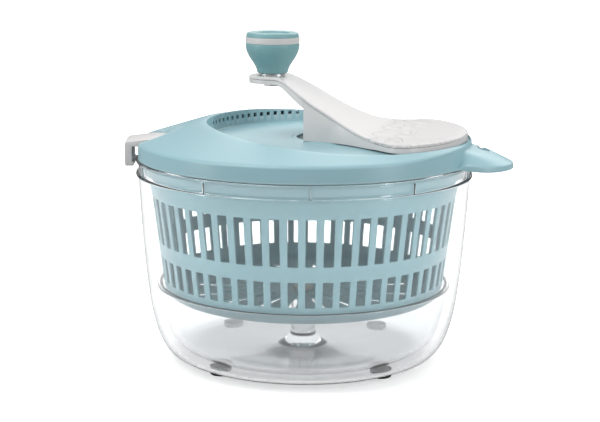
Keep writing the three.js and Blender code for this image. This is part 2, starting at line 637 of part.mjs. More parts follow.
// ---- Knob --------------------------------------------------------------------------------------
const KNOB_X = CRANK_OFFSET - CRANK_RADIUS;
const KNOB_Z = ARM_TOP_Z + KNOB_FLANGE + FIT;
const BODY_TOP_Z = KNOB_Z + KNOB_BODY;
const BAND_TOP_Z = BODY_TOP_Z + KNOB_BAND;
const PIN_TOP_Z = BODY_TOP_Z - 2.2;

function makeKnobPin() {
  const foot = ARM_TOP_Z - ARM_THICK - NUT_HEIGHT - 0.2;
  const profile = [
    V(0, foot),
    V(KNOB_PIN_R - 1, foot),
    V(KNOB_PIN_R - 1, ARM_TOP_Z),
    V(KNOB_FOOT_R - 2, ARM_TOP_Z),
    V(KNOB_FOOT_R - 2, ARM_TOP_Z + KNOB_FLANGE),
    V(KNOB_PIN_R, ARM_TOP_Z + KNOB_FLANGE),
    V(KNOB_PIN_R, PIN_TOP_Z),
    V(SCREW_R + FIT, PIN_TOP_Z),
    V(SCREW_R + FIT, PIN_TOP_Z - SCREW_LENGTH),
    V(0, PIN_TOP_Z - SCREW_LENGTH),
  ];
  return turned(profile, 20, KNOB_X);
}

function makeKnobNut() {
  const top = ARM_TOP_Z - ARM_THICK;
  const hexagon = cylinder(KNOB_PIN_R + 2.5, top - NUT_HEIGHT, top, 6, KNOB_X);
  return hexagon.subtract(cylinder(NUT_HOLE_R, top - 5, top + 5, 16, KNOB_X));
}

function makeKnobBody() {
  const face = new THREE.Path();
  face.moveTo(KNOB_FOOT_R, KNOB_Z);
  const waist = KNOB_Z + 0.36 * KNOB_BODY;
  const belly = KNOB_Z + 0.54 * KNOB_BODY;
  face.bezierCurveTo(KNOB_FOOT_R + 1, waist, KNOB_R - 0.1, belly, KNOB_R, BODY_TOP_Z - 1.5);
  const profile = [
    V(KNOB_PIN_R + FIT, KNOB_Z),
    ...face.getPoints(5),
    V(KNOB_R, BODY_TOP_Z),
    V(HEAD_R + 3, BODY_TOP_Z),
    V(HEAD_R + 3, PIN_TOP_Z - FIT),
    V(KNOB_PIN_R + FIT, PIN_TOP_Z - FIT),
    V(KNOB_PIN_R + FIT, KNOB_Z),
  ];
  return turned(profile, ROUND_SMALL, KNOB_X);
}

const makeKnobBand = () => ring(KNOB_R - 4, KNOB_R, BODY_TOP_Z, BAND_TOP_Z, ROUND_SMALL, KNOB_X);

function makeKnobCap() {
  const top = BAND_TOP_Z + KNOB_CAP;
  const profile = [
    V(0, BODY_TOP_Z + 1),
    V(KNOB_R - 4 - FIT, BODY_TOP_Z + 1),
    V(KNOB_R - 4 - FIT, BAND_TOP_Z),
    V(KNOB_R - 0.2, BAND_TOP_Z),
    V(KNOB_R - 0.8, top - 0.7),
    V(KNOB_R - 2.2, top),
    V(0.62 * KNOB_R, top - 0.4),
    V(0.56 * KNOB_R, top - 1.9),
    V(0, top - 1.9),
  ];
  return turned(profile, ROUND_SMALL, KNOB_X);
}

// A screw along Z, head down by default.
function screw(x, y, headZ, radius, headR, headHeight, length, up = -1) {
  const profile = [
    V(0, 0),
    V(headR - 0.5, 0),
    V(headR, 0.5),
    V(headR, headHeight),
    V(radius, headHeight),
    V(radius, headHeight + length),
    V(0, headHeight + length),
  ];
  const geometry = new THREE.LatheGeometry(profile, 12).rotateX((-up * Math.PI) / 2);
  return solid(geometry.translate(x, y, headZ));
}

const makeKnobScrew = () =>
  screw(KNOB_X, 0, PIN_TOP_Z + HEAD_HEIGHT, SCREW_R, HEAD_R + 2, HEAD_HEIGHT, SCREW_LENGTH - 1, 1);

// ---- Gears -------------------------------------------------------------------------------------
const involute = (angle) => Math.tan(angle) - angle;

// Outline of an external gear; a ring gear's opening is the same outline made for its own teeth.
function gearOutline(teeth, rootR, tipR, grow) {
  const pitchR = (MODULE * teeth) / 2;
  const baseR = pitchR * Math.cos(PRESSURE_ANGLE);
  const start = Math.max(rootR, baseR);
  const radii = [0, 0.5, 1].map((t) => start + t * (tipR - start));
  const halfAngle = (r) =>
    Math.PI / (2 * teeth) + grow / pitchR + involute(PRESSURE_ANGLE) - involute(Math.acos(baseR / r));
  const flank = radii.map((r) => [r, halfAngle(r)]);
  if (rootR < baseR) flank.unshift([rootR, halfAngle(baseR)]);
  const tooth = [...flank.map(([r, a]) => [r, -a]), ...flank.reverse()];
  const place = (turn) => tooth.map(([r, a]) => V(r * Math.cos(turn + a), r * Math.sin(turn + a)));
  return around(teeth, place).flat();
}

function makeRingGear() {
  const opening = gearOutline(RING_TEETH, RING_PITCH_R - TOOTH_TOP, RING_ROOT_R, BACKLASH / 4);
  return cylinder(RING_R, RING_BOTTOM_Z, WEB_TOP_Z, RING_TEETH)
    .subtract(raised(opening, RING_BOTTOM_Z - 1, TEETH_TOP_Z))
    .subtract(cylinder(CRANK_SCREW_R + FIT, TEETH_TOP_Z - 1, WEB_TOP_Z + 1, 12))
    .translate([CRANK_OFFSET, 0, 0]);
}

const PINION_Z = COVER_TOP_Z + SPACER + FIT;
const PINION_TOP_Z = TEETH_TOP_Z - 0.5;

function makePinion() {
  const pitchR = (MODULE * PINION_TEETH) / 2;
  const outline = gearOutline(PINION_TEETH, pitchR - 0.9 * MODULE, pitchR + TOOTH_TOP, -BACKLASH / 4);
  return raised(outline, PINION_Z, PINION_TOP_Z).subtract(
    cylinder(SHAFT_R + FIT, PINION_Z - 1, PINION_TOP_Z + 1, 16),
  );
}

function makeCrankScrew() {
  const seat = TEETH_TOP_Z - 1;
  const length = ARM_BOTTOM_Z + 1.5 - seat;
  return screw(CRANK_OFFSET, 0, seat - HEAD_HEIGHT, CRANK_SCREW_R, CRANK_SCREW_R + 2.5, HEAD_HEIGHT, length);
}

const makeCrankWasher = () =>
  ring(CRANK_SCREW_R + FIT, CRANK_SCREW_R + 5, TEETH_TOP_Z - 1, TEETH_TOP_Z, 20, CRANK_OFFSET);

function makeCrankBush() {
  const profile = [
    V(HUB_R + FIT, BUSH_BOTTOM_Z),
    V(HUB_HOLE_R + 3, BUSH_BOTTOM_Z),
    V(HUB_HOLE_R + 3, BUSH_BOTTOM_Z + BUSH_RIM),
    V(HUB_HOLE_R - FIT, BUSH_BOTTOM_Z + BUSH_RIM),
    V(HUB_HOLE_R - FIT, BUSH_TOP_Z),
    V(HUB_R + FIT, BUSH_TOP_Z),
    V(HUB_R + FIT, BUSH_BOTTOM_Z),
  ];
  return turned(profile, ROUND_SMALL, CRANK_OFFSET);
}

function makeGearCover() {
  const rim = WEB_TOP_Z - 1.5;
  const profile = [
    V(0, COVER_Z),
    V(COVER_R, COVER_Z),
    V(COVER_R, COVER_TOP_Z),
    V(COVER_WALL_R + CHAMBER_WALL, COVER_TOP_Z),
    V(COVER_WALL_R + CHAMBER_WALL, rim),
    V(COVER_WALL_R, rim),
    V(COVER_WALL_R, COVER_TOP_Z),
    V(0, COVER_TOP_Z),
  ];
  const hole = (p) => cylinder(SCREW_R + FIT, COVER_Z - 1, COVER_TOP_Z + 1, 8, p.x, p.y);
  return turned(profile, ROUND, CRANK_OFFSET)
    .subtract(cylinder(DRIVE_BUSH_R + FIT, COVER_Z - 1, COVER_TOP_Z + 1, 20))
    .subtract(joined(screwPlaces().map(hole)));
}

const makeCoverScrew = (p) =>
  screw(p.x, p.y, COVER_Z - HEAD_HEIGHT, SCREW_R, HEAD_R, HEAD_HEIGHT, COVER_PLATE + SCREW_LENGTH - 1);

function makeDriveBush() {
  const flangeZ = COVER_TOP_Z + SPACER;
  const flangeR = RING_PITCH_R - TOOTH_TOP - CRANK_OFFSET - FIT;
  const profile = [
    V(SHAFT_R + FIT, COVER_Z - BUSH_RIM),
    V(DRIVE_BUSH_R, COVER_Z - BUSH_RIM),
    V(DRIVE_BUSH_R, COVER_TOP_Z),
    V(flangeR, COVER_TOP_Z),
    V(flangeR, flangeZ),
    V(SHAFT_R + FIT, flangeZ),
    V(SHAFT_R + FIT, COVER_Z - BUSH_RIM),
  ];
  return turned(profile, ROUND_SMALL);
}

const makeThrustWasher = () =>
  ring(SHAFT_R + FIT, DRIVE_BUSH_R + 1, DISC_HUB_Z + 0.2, COVER_Z - BUSH_RIM - FIT, 20);
const SHAFT_Z = DISC_TOP_Z - 4;

function makeDriveShaft() {
  const profile = [
    V(0, SHAFT_Z + SCREW_LENGTH),
    V(SCREW_R + FIT, SHAFT_Z + SCREW_LENGTH),
    V(SCREW_R + FIT, SHAFT_Z),
    V(SHAFT_R, SHAFT_Z),
    V(SHAFT_R, PINION_TOP_Z),
    V(0, PINION_TOP_Z),
  ];
  return turned(profile, 16);
}

const makeDriveScrew = () =>
  screw(0, 0, SHAFT_Z - FIT - HEAD_HEIGHT, SCREW_R, HEAD_R + 3, HEAD_HEIGHT, SCREW_LENGTH - 1);

// The disc turns inside the basket's rim, and its notches take the basket round by the ribs.
function makeDriveDisc() {
  const bottom = DISC_TOP_Z - DISC_THICK;
  const bore = SHAFT_R + FIT;
  const profile = [
    V(bore, SHAFT_Z),
    V(DISC_HUB_R, SHAFT_Z),
    V(DISC_HUB_R, bottom),
    V(DISC_R - 2 * DISC_THICK - RIB_DEPTH, bottom),
    V(DISC_R - 2 * DISC_THICK - RIB_DEPTH, DISC_TOP_Z - DISC_RIM),
    V(DISC_R, DISC_TOP_Z - DISC_RIM),
    V(DISC_R, DISC_TOP_Z),
    V(DISC_HUB_R, DISC_TOP_Z),
    V(DISC_HUB_R, DISC_HUB_Z),
    V(bore, DISC_HUB_Z),
    V(bore, SHAFT_Z),
  ];
  const ribIn = BASKET_R - BASKET_WALL - RIB_DEPTH - 3 * FIT;
  const half = RIB_WIDTH / 2 + 3 * FIT;
  const notch = (angle) => block(ribIn, DISC_R + 5, -half, half, DISC_TOP_Z - 20, DISC_TOP_Z + 5, angle);
  return turned(profile, ROUND).subtract(joined(around(RIBS, notch)));
}

// ---- Assembly ----------------------------------------------------------------------------------
const group = new THREE.Group();

function add(parent, name, body, material) {
  const mesh = new THREE.Mesh(geometryOf(body), material);
  mesh.name = name;
  parent.add(mesh);
}

function assembly() {
  const inner = new THREE.Group();
  group.add(inner);
  return inner;
}

const bowl = assembly();
add(bowl, "bowl", makeBowl(), CLEAR);
footPlaces().forEach((place, i) => add(bowl, `foot_${i + 1}`, makeFoot(place), RUBBER));

const tray = assembly();
add(tray, "drip_tray", makeTray(), CLEAR);
add(tray, "pivot_pin", makePivotPin(), STEEL);
add(tray, "pivot_bush", makePivotBush(), NYLON);
add(tray, "basket", makeBasket(), AQUA);

const lid = assembly();
add(lid, "lid_shell", makeLid(), AQUA);
add(lid, "gear_cover", makeGearCover(), AQUA);
screwPlaces().forEach((place, i) => add(lid, `cover_screw_${i + 1}`, makeCoverScrew(place), STEEL));
add(lid, "crank_bush", makeCrankBush(), NYLON);
add(lid, "drive_bush", makeDriveBush(), NYLON);
add(lid, "latch_pin", makeLatchPin(), STEEL);
add(lid, "latch", makeLatch(), WHITE);

const crank = assembly();
add(crank, "crank_arm", makeCrankArm(), WHITE);
add(crank, "crank_cover", makeCrankCover(), WHITE);
add(crank, "ring_gear", makeRingGear(), NYLON);
add(crank, "crank_washer", makeCrankWasher(), STEEL);
add(crank, "crank_screw", makeCrankScrew(), STEEL);
add(crank, "knob_pin", makeKnobPin(), STEEL);
add(crank, "knob_nut", makeKnobNut(), STEEL);
add(crank, "knob_screw", makeKnobScrew(), STEEL);

const knob = assembly();
add(knob, "knob_body", makeKnobBody(), DEEP_AQUA);
add(knob, "knob_band", makeKnobBand(), WHITE);
add(knob, "knob_cap", makeKnobCap(), DEEP_AQUA);

const drive = assembly();
add(drive, "pinion", makePinion(), NYLON);
add(drive, "drive_shaft", makeDriveShaft(), STEEL);
add(drive, "thrust_washer", makeThrustWasher(), NYLON);
add(drive, "drive_disc", makeDriveDisc(), DEEP_AQUA);
add(drive, "drive_screw", makeDriveScrew(), STEEL);

export default group;
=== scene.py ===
"""Looks of a hand-cranked salad spinner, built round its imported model, in metres."""

import json
import math

import bmesh
import bpy
from mathutils import Matrix, Quaternion, Vector


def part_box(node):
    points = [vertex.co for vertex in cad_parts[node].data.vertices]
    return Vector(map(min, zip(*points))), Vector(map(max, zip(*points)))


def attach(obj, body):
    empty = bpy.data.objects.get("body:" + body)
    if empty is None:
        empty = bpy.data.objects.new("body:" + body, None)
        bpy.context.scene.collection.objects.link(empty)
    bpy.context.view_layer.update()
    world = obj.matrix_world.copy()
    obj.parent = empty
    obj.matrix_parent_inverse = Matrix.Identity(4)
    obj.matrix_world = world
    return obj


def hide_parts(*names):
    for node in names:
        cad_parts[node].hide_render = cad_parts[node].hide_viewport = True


bl_info = {
    "name": "Salad Spinner",
    "version": (1, 0, 0),
    "blender": (4, 5, 0),
    "location": "View3D > Sidebar > Spinner",
    "description": "Builds the visible pieces of a crank salad spinner and its studio stage",
    "category": "Object",
}

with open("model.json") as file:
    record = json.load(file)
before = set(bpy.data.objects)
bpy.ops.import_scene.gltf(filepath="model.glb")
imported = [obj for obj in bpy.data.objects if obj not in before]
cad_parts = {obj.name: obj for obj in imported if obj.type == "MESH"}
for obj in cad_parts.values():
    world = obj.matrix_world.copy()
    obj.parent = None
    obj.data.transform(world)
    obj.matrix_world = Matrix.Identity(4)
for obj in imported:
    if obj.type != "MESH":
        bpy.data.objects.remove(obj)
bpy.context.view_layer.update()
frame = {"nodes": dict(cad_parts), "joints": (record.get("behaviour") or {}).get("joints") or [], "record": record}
MM = 0.001
FIT = 0.3 * MM


def joint(name):
    return next(j for j in frame["joints"] if j["name"] == name)


BOWL_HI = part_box("bowl")[1]
LID_LO, LID_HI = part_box("lid_shell")
TRAY_LO, TRAY_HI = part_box("drip_tray")
BASKET_LO, BASKET_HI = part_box("basket")
ARM_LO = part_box("crank_arm")[0]
COVER_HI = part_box("crank_cover")[1]
LATCH_LO, LATCH_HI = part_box("latch")
FOOT_LO, FOOT_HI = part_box("foot_1")
PIN_AT = Vector(joint("latch_swing")["pos_m"])
PIN_R = PIN_AT.to_2d().length
LATCH_TURN = math.atan2(-PIN_AT.y, -PIN_AT.x)
CRANK_X = joint("crank_spin")["pos_m"][0]
KNOB_X = joint("knob_spin")["pos_m"][0]
LID_R = LID_HI.y
SKIRT_Z = BOWL_HI.z + FIT


# ---- Settings ----------------------------------------------------------------------------------
def length(name, description, default):
    return bpy.props.FloatProperty(
        name=name, description=description, default=default, min=0.0, unit="LENGTH", precision=4
    )


def colour(name, description, default):
    return bpy.props.FloatVectorProperty(
        name=name, description=description, default=default, size=4, subtype="COLOR", min=0.0, max=1.0
    )


def angle(name, description, degrees):
    return bpy.props.FloatProperty(
        name=name, description=description, default=math.radians(degrees), subtype="ANGLE"
    )


def share(name, description, default):
    return bpy.props.FloatProperty(
        name=name, description=description, default=default, min=0.0, max=1.0, subtype="FACTOR"
    )


class SpinnerSizes(bpy.types.PropertyGroup):
    bowl_wall: length("Bowl wall", "Thickness of the clear bowl", 2.6 * MM)
    bowl_base: length("Bowl base radius", "Edge of the flat underside", 92 * MM)
    bowl_corner: length("Bowl corner height", "Height where the corner meets the wall", 37 * MM)
    bowl_flare: length("Bowl flare", "Lean of the wall from corner to rim", 8.6 * MM)
    lip_reach: length("Lip reach", "How far the lip and bead stand out", 1.8 * MM)
    tray_wall: length("Tray wall", "Thickness of the drip tray", 2.0 * MM)
    tray_base: length("Tray base radius", "Edge of the tray's flat underside", 72 * MM)
    tray_flange: length("Tray flange", "Width of the tray's rim flange", 2.2 * MM)
    basket_wall: length("Basket wall", "Thickness of the basket", 2.0 * MM)
    lid_wall: length("Lid wall", "Thickness of the lid's shell", 2.4 * MM)
    latch_reach: length("Latch reach", "Latch's outer face beyond the skirt", 9.4 * MM)
    latch_width: length("Latch width", "Across the latch's cap", 36 * MM)
    latch_room: length("Latch room", "Gap between the cap and its recess", 1.4 * MM)
    dish_lip: length("Dish lip", "Wall round the dish at the tab", 1.4 * MM)
    tab_reach: length("Tab reach", "How far the tab stands out", LID_HI.x - LID_R)
    tab_half: length("Tab half width", "Half the tab's width at its root", 36 * MM)
    slots: bpy.props.IntProperty(name="Slots", description="Slots round each row", default=56, min=8)
    slot_fill: share("Slot share", "Open share of each slot's pitch", 0.58)


class SpinnerFinish(bpy.types.PropertyGroup):
    aqua: colour("Aqua", "Lid and basket", (0.305, 0.500, 0.550, 1))
    deep_aqua: colour("Deep aqua", "Knob and drive disc", (0.195, 0.385, 0.405, 1))
    white: colour("White", "Crank and latch", (0.64, 0.625, 0.62, 1))
    clear: colour("Clear", "Bowl and tray", (0.985, 0.995, 1.0, 1))
    nylon: colour("Nylon", "Bushes and gears", (0.66, 0.64, 0.58, 1))
    steel: colour("Steel", "Pins and screws", (0.60, 0.61, 0.63, 1))
    rubber: colour("Rubber", "Feet", (0.018, 0.018, 0.021, 1))


class SpinnerStage(bpy.types.PropertyGroup):
    azimuth: angle("Azimuth", "Camera's turn round the bowl", 13.5)
    elevation: angle("Elevation", "Camera's angle above level", 11.3)
    distance: length("Distance", "Camera to the point it looks at", 1.111)
    aim_height: length("Aim height", "Height of the point it looks at", 0.107)
    roll: angle("Roll", "Camera's lean about its own axis", 0.43)
    lens: bpy.props.FloatProperty(name="Lens", description="Focal length in millimetres", default=87.8)
    floor: colour("Floor", "Pale floor", (0.93, 0.93, 0.93, 1))


# ---- Mesh helpers ------------------------------------------------------------------------------
SHARP = 32.0  # degrees between two faces beyond which their edge is sharp


def shade(bm, smooth_angle):
    """Shades smooth, but for edges sharper than the angle in degrees."""
    limit = math.radians(smooth_angle)
    for face in bm.faces:
        face.smooth = True
    for edge in bm.edges:
        edge.smooth = len(edge.link_faces) == 2 and edge.calc_face_angle(0.0) < limit


def finish_mesh(name, bm, smooth_angle=SHARP):
    """Makes the object, with its faces out."""
    bmesh.ops.remove_doubles(bm, verts=bm.verts, dist=1e-7)
    bmesh.ops.recalc_face_normals(bm, faces=bm.faces)
    shade(bm, smooth_angle)
    mesh = bpy.data.meshes.new(name)
    bm.to_mesh(mesh)
    bm.free()
    piece = bpy.data.objects.new(name, mesh)
    bpy.context.scene.collection.objects.link(piece)
    return piece


def rounded(points, steps=4):
    """An outline from (across, up, fillet) points; a corner with a fillet becomes a short curve."""
    outline = []
    for i, (x, y, fillet) in enumerate(points):
        here = Vector((x, y))
        if fillet <= 0 or i == 0 or i == len(points) - 1:
            outline.append(here)
            continue
        back = Vector(points[i - 1][:2]) - here
        ahead = Vector(points[i + 1][:2]) - here
        reach = min(fillet, 0.48 * back.length, 0.48 * ahead.length)
        start = here + back.normalized() * reach
        end = here + ahead.normalized() * reach
        for k in range(steps + 1):
            t = k / steps
            outline.append(start * (1 - t) ** 2 + here * (2 * t * (1 - t)) + end * t**2)
    return outline


def bezier(p0, p1, p2, p3, steps):
    """Points of a cubic curve, without its last one."""
    curve = []
    for k in range(steps):
        t = k / steps
        weights = ((1 - t) ** 3, 3 * t * (1 - t) ** 2, 3 * t**2 * (1 - t), t**3)
        curve.append(sum((Vector(p) * w for p, w in zip((p0, p1, p2, p3), weights)), Vector((0, 0))))
    return curve


def skin_rings(bm, rings, closed_rows, closed_ring=True):
    """Quads between neighbouring rows of vertices; a row of one vertex is a point on the axis."""
    pairs = list(zip(rings, rings[1:]))
    if closed_rows:
        pairs.append((rings[-1], rings[0]))
    for low, high in pairs:
        count = max(len(low), len(high))
        for k in range(count if closed_ring else count - 1):
            n = (k + 1) % count
            corners = [low[k % len(low)], low[n % len(low)], high[n % len(high)], high[k % len(high)]]
            unique = list(dict.fromkeys(corners))
            if len(unique) > 2:
                bm.faces.new(unique)


def loft(bm, rings):
    """A closed body through rings of vertices, with a flat face at each end."""
    skin_rings(bm, rings, closed_rows=False)
    bm.faces.new(rings[0])
    bm.faces.new(rings[-1])


def circle(radius, count, x=0.0, y=0.0):
    turns = [2 * math.pi * k / count for k in range(count)]
    return [(x + radius * math.cos(a), y + radius * math.sin(a)) for a in turns]


def lathe(name, outline, steps=160, x=0.0, y=0.0):
    """Turns an outline of (radius, height) about the vertical line through (x, y)."""
    bm = bmesh.new()
    rings = []
    for radius, height in outline:
        plan = [(x, y)] if radius < 1e-6 else circle(radius, steps, x, y)
        rings.append([bm.verts.new((px, py, height)) for px, py in plan])
    on_axis = len(rings[0]) == 1 and len(rings[-1]) == 1
    skin_rings(bm, rings, closed_rows=not on_axis)
    return finish_mesh(name, bm)


def prism(name, outline, low, high):
    """Raises a plan outline of (x, y) points from one height to another."""
    bm = bmesh.new()
    loft(bm, [[bm.verts.new((x, y, z)) for x, y in outline] for z in (low, high)])
    return finish_mesh(name, bm)


def slab(name, outline, half):
    """Carries a side outline of (x, z) points across, as far to each side."""
    bm = bmesh.new()
    loft(bm, [[bm.verts.new((x, y, z)) for x, z in outline] for y in (-half, half)])
    return finish_mesh(name, bm)


def box_at(bm, centre, size, turn=0.0, pivot=(0.0, 0.0)):
    """A box centred at a point before it is turned about a vertical pivot."""
    made = bmesh.ops.create_cube(bm, size=1.0)["verts"]
    c, s = math.cos(turn), math.sin(turn)
    for vert in made:
        x, y, z = (centre[i] + vert.co[i] * size[i] for i in range(3))
        vert.co = (pivot[0] + c * x - s * y, pivot[1] + s * x + c * y, z)


def modified(piece, kind, **settings):
    """Adds a modifier and applies it."""
    modifier = piece.modifiers.new(kind.title(), kind)
    for key, value in settings.items():
        setattr(modifier, key, value)
    bpy.context.view_layer.objects.active = piece
    with bpy.context.temp_override(object=piece, active_object=piece):
        bpy.ops.object.modifier_apply(modifier=modifier.name)
    return piece


def cut(piece, tool, operation="DIFFERENCE"):
    """Joins or cuts one piece by another, and removes the tool."""
    modified(piece, "BOOLEAN", object=tool, operation=operation, solver="MANIFOLD")
    bpy.data.objects.remove(tool, do_unlink=True)
    return piece


def soften(piece, width, segments=3, smooth_angle=SHARP):
    """Rounds the sharp edges a little and shades the rest smooth."""
    modified(piece, "BEVEL", width=width, segments=segments, limit_method="ANGLE",
             angle_limit=math.radians(SHARP), harden_normals=False, use_clamp_overlap=True)
    bm = bmesh.new()
    bm.from_mesh(piece.data)
    shade(bm, smooth_angle)
    bm.to_mesh(piece.data)
    bm.free()
    return piece


def spun(piece, turn):
    """Turns a piece's mesh about the bowl's axis."""
    piece.data.transform(Matrix.Rotation(turn, 4, "Z"))
    return piece


def smooth_step(value):
    t = min(max(value, 0.0), 1.0)
    return t * t * (3 - 2 * t)


def settle(piece, body, slot, *nodes, material=None):
    """Gives a finished piece the material for its slot and its body, and hides the nodes it stands for."""
    piece.data.materials.clear()
    piece.data.materials.append(material or FINISHES[slot]())
    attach(piece, body)
    if nodes:
        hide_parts(*nodes)
    return piece


# ---- Shared effects ----------------------------------------------------------------------------
def add_node(tree, kind, inputs=None, **settings):
    """A shader node with its settings; an input takes a value or another node's socket."""
    node = tree.nodes.new("ShaderNode" + kind)
    for key, value in settings.items():
        setattr(node, key, value)
    for label, value in (inputs or {}).items():
        if isinstance(value, bpy.types.NodeSocket):
            tree.links.new(value, node.inputs[label])
        else:
            node.inputs[label].default_value = value
    return node


def calc(tree, operation, *values, clamp=False):
    """A sum on values or sockets."""
    node = add_node(tree, "Math", dict(enumerate(values)), operation=operation, use_clamp=clamp)
    return node.outputs["Value"]


def effect_group(name, inputs, outputs):
    """An empty node group with its sockets; returns the group and its two end nodes."""
    group = bpy.data.node_groups.new(name, "ShaderNodeTree")
    for label, default in inputs:
        socket = group.interface.new_socket(label, in_out="INPUT", socket_type="NodeSocketFloat")
        socket.default_value = default
    for label in outputs:
        group.interface.new_socket(label, in_out="OUTPUT", socket_type="NodeSocketFloat")
    return group, group.nodes.new("NodeGroupInput").outputs, group.nodes.new("NodeGroupOutput").inputs


def moulded_grain():
    """Fine satin grain of a moulding, as a height, and a slow unevenness, as a mask."""
    if "moulded_grain" in bpy.data.node_groups:
        return bpy.data.node_groups["moulded_grain"]
    group, given, out = effect_group(
        "moulded_grain", [("Grain Scale", 900.0), ("Cloud Scale", 14.0)], ["Height", "Cloud"]
    )
    place = add_node(group, "TexCoord").outputs["Object"]
    for label, scale, detail in (("Height", "Grain Scale", 3.0), ("Cloud", "Cloud Scale", 4.0)):
        noise = add_node(group, "TexNoise", {"Vector": place, "Scale": given[scale], "Detail": detail})
        group.links.new(noise.outputs["Fac"], out[label])
    return group


def worn_edges_and_painted_highlight():
    """Mask that is 1 along outer edges, where a moulding is handled and goes pale: wear, and also a painted
    highlight along its edges and creases.
    """
    if "worn_edges_and_painted_highlight" in bpy.data.node_groups:
        return bpy.data.node_groups["worn_edges_and_painted_highlight"]
    group, given, out = effect_group("worn_edges_and_painted_highlight", [("From", 0.51), ("To", 0.60)], ["Mask"])
    pointed = add_node(group, "NewGeometry").outputs["Pointiness"]
    ramp = add_node(group, "MapRange", {"Value": pointed, "From Min": given["From"], "From Max": given["To"]})
    group.links.new(ramp.outputs["Result"], out["Mask"])
    return group


def fan_lines():
    """Raised lines on the paddle: rays that fan out to its end and curling veins behind them."""
    if "fan_lines" in bpy.data.node_groups:
        return bpy.data.node_groups["fan_lines"]
    group, given, out = effect_group("fan_lines", [("Rays", 46.0), ("Vein Scale", 95.0)], ["Height"])
    place = add_node(group, "TexCoord").outputs["Object"]
    split = add_node(group, "SeparateXYZ", {"Vector": place}).outputs
    along = calc(group, "SUBTRACT", split["X"], CRANK_X)

    def window(start, full, end, gone):
        """1 over a stretch of the arm, eased to 0 at both its ends."""
        rise, fall = (
            add_node(group, "MapRange", {"Value": along, "From Min": low, "From Max": high},
                     interpolation_type="SMOOTHSTEP").outputs["Result"]
            for low, high in ((start, full), (gone, end))
        )
        return calc(group, "MULTIPLY", rise, fall)

    turn = calc(group, "ARCTAN2", split["Y"], calc(group, "ADD", along, 6 * MM))
    wave = calc(group, "ABSOLUTE", calc(group, "COSINE", calc(group, "MULTIPLY", turn, given["Rays"])))
    ridges = calc(group, "POWER", wave, 6.0)
    rays = calc(group, "MULTIPLY", ridges, window(50 * MM, 66 * MM, 88 * MM, 95 * MM))

    warp = add_node(group, "TexNoise", {"Vector": place, "Scale": 60.0}).outputs["Color"]
    blend = add_node(group, "VectorMath", {0: warp, 1: (0.02, 0.02, 0.0), 2: place}, operation="MULTIPLY_ADD")
    veins = add_node(group, "TexVoronoi", feature="DISTANCE_TO_EDGE")
    group.links.new(blend.outputs["Vector"], veins.inputs["Vector"])
    group.links.new(given["Vein Scale"], veins.inputs["Scale"])
    away = veins.outputs["Distance"]
    edge = add_node(group, "MapRange", {"Value": away, "From Min": 0.10, "From Max": 0.02})
    curls = calc(group, "MULTIPLY", edge.outputs["Result"], window(26 * MM, 36 * MM, 58 * MM, 68 * MM))
    group.links.new(calc(group, "MAXIMUM", rays, curls), out["Height"])
    return group


def fine_dust():
    """Mask of pale dust specks that settle on faces looking up."""
    if "fine_dust" in bpy.data.node_groups:
        return bpy.data.node_groups["fine_dust"]
    group, given, out = effect_group("fine_dust", [("Speck Scale", 420.0), ("Amount", 0.3)], ["Mask"])
    place = add_node(group, "TexCoord").outputs
    scatter = {"Vector": place["Object"], "Scale": given["Speck Scale"], "Detail": 2.0}
    noise = add_node(group, "TexNoise", scatter)
    specks = add_node(group, "MapRange", {"Value": noise.outputs["Fac"], "From Min": 0.66, "From Max": 0.76})
    upward = add_node(group, "SeparateXYZ", {"Vector": place["Normal"]}).outputs["Z"]
    facing = calc(group, "MULTIPLY", upward, specks.outputs["Result"], clamp=True)
    group.links.new(calc(group, "MULTIPLY", facing, given["Amount"]), out["Mask"])
    return group


# ---- Materials ---------------------------------------------------------------------------------
def place_group(tree, group, **values):
    """A shared effect in a material, with its input values by name; returns its outputs."""
    node = add_node(tree, "Group", node_tree=group)
    for label, value in values.items():
        node.inputs[label.replace("_", " ").title()].default_value = value
    return node.outputs


def mixed(tree, mask, first, second):
    """A colour mix driven by a mask socket; a colour or a socket goes into each side."""
    mix = add_node(tree, "Mix", data_type="RGBA")
    tree.links.new(mask, mix.inputs["Factor"])
    for label, value in (("A", first), ("B", second)):
        socket = next(s for s in mix.inputs if s.name == label and s.type == "RGBA")
        if isinstance(value, bpy.types.NodeSocket):
            tree.links.new(value, socket)
        else:
            socket.default_value = value
    return next(s for s in mix.outputs if s.type == "RGBA")


def tinted(base, factor):
    return tuple(min(1.0, c * factor) for c in base[:3]) + (1.0,)


def toward_white(base, amount):
    return tuple(c + (1 - c) * amount for c in base[:3]) + (1.0,)


def new_material(name):
    """An empty material; returns it with its node tree and its shader."""
    material = bpy.data.materials.new(name)
    material.use_nodes = True
    return material, material.node_tree, material.node_tree.nodes["Principled BSDF"]


def add_roughness(tree, cloud, low, high):
    """Roughness that wanders between two values."""
    uneven = add_node(tree, "MapRange", {"Value": cloud, "To Min": low, "To Max": high})
    tree.links.new(uneven.outputs["Result"], tree.nodes["Principled BSDF"].inputs["Roughness"])


def add_relief(tree, height, strength, distance):
    """Relief on top of what the shader's normal has already."""
    normal = tree.nodes["Principled BSDF"].inputs["Normal"]
    bump = add_node(tree, "Bump", {"Height": height, "Strength": strength, "Distance": distance})
    if normal.is_linked:
        tree.links.new(normal.links[0].from_socket, bump.inputs["Normal"])
    tree.links.new(bump.outputs["Normal"], normal)


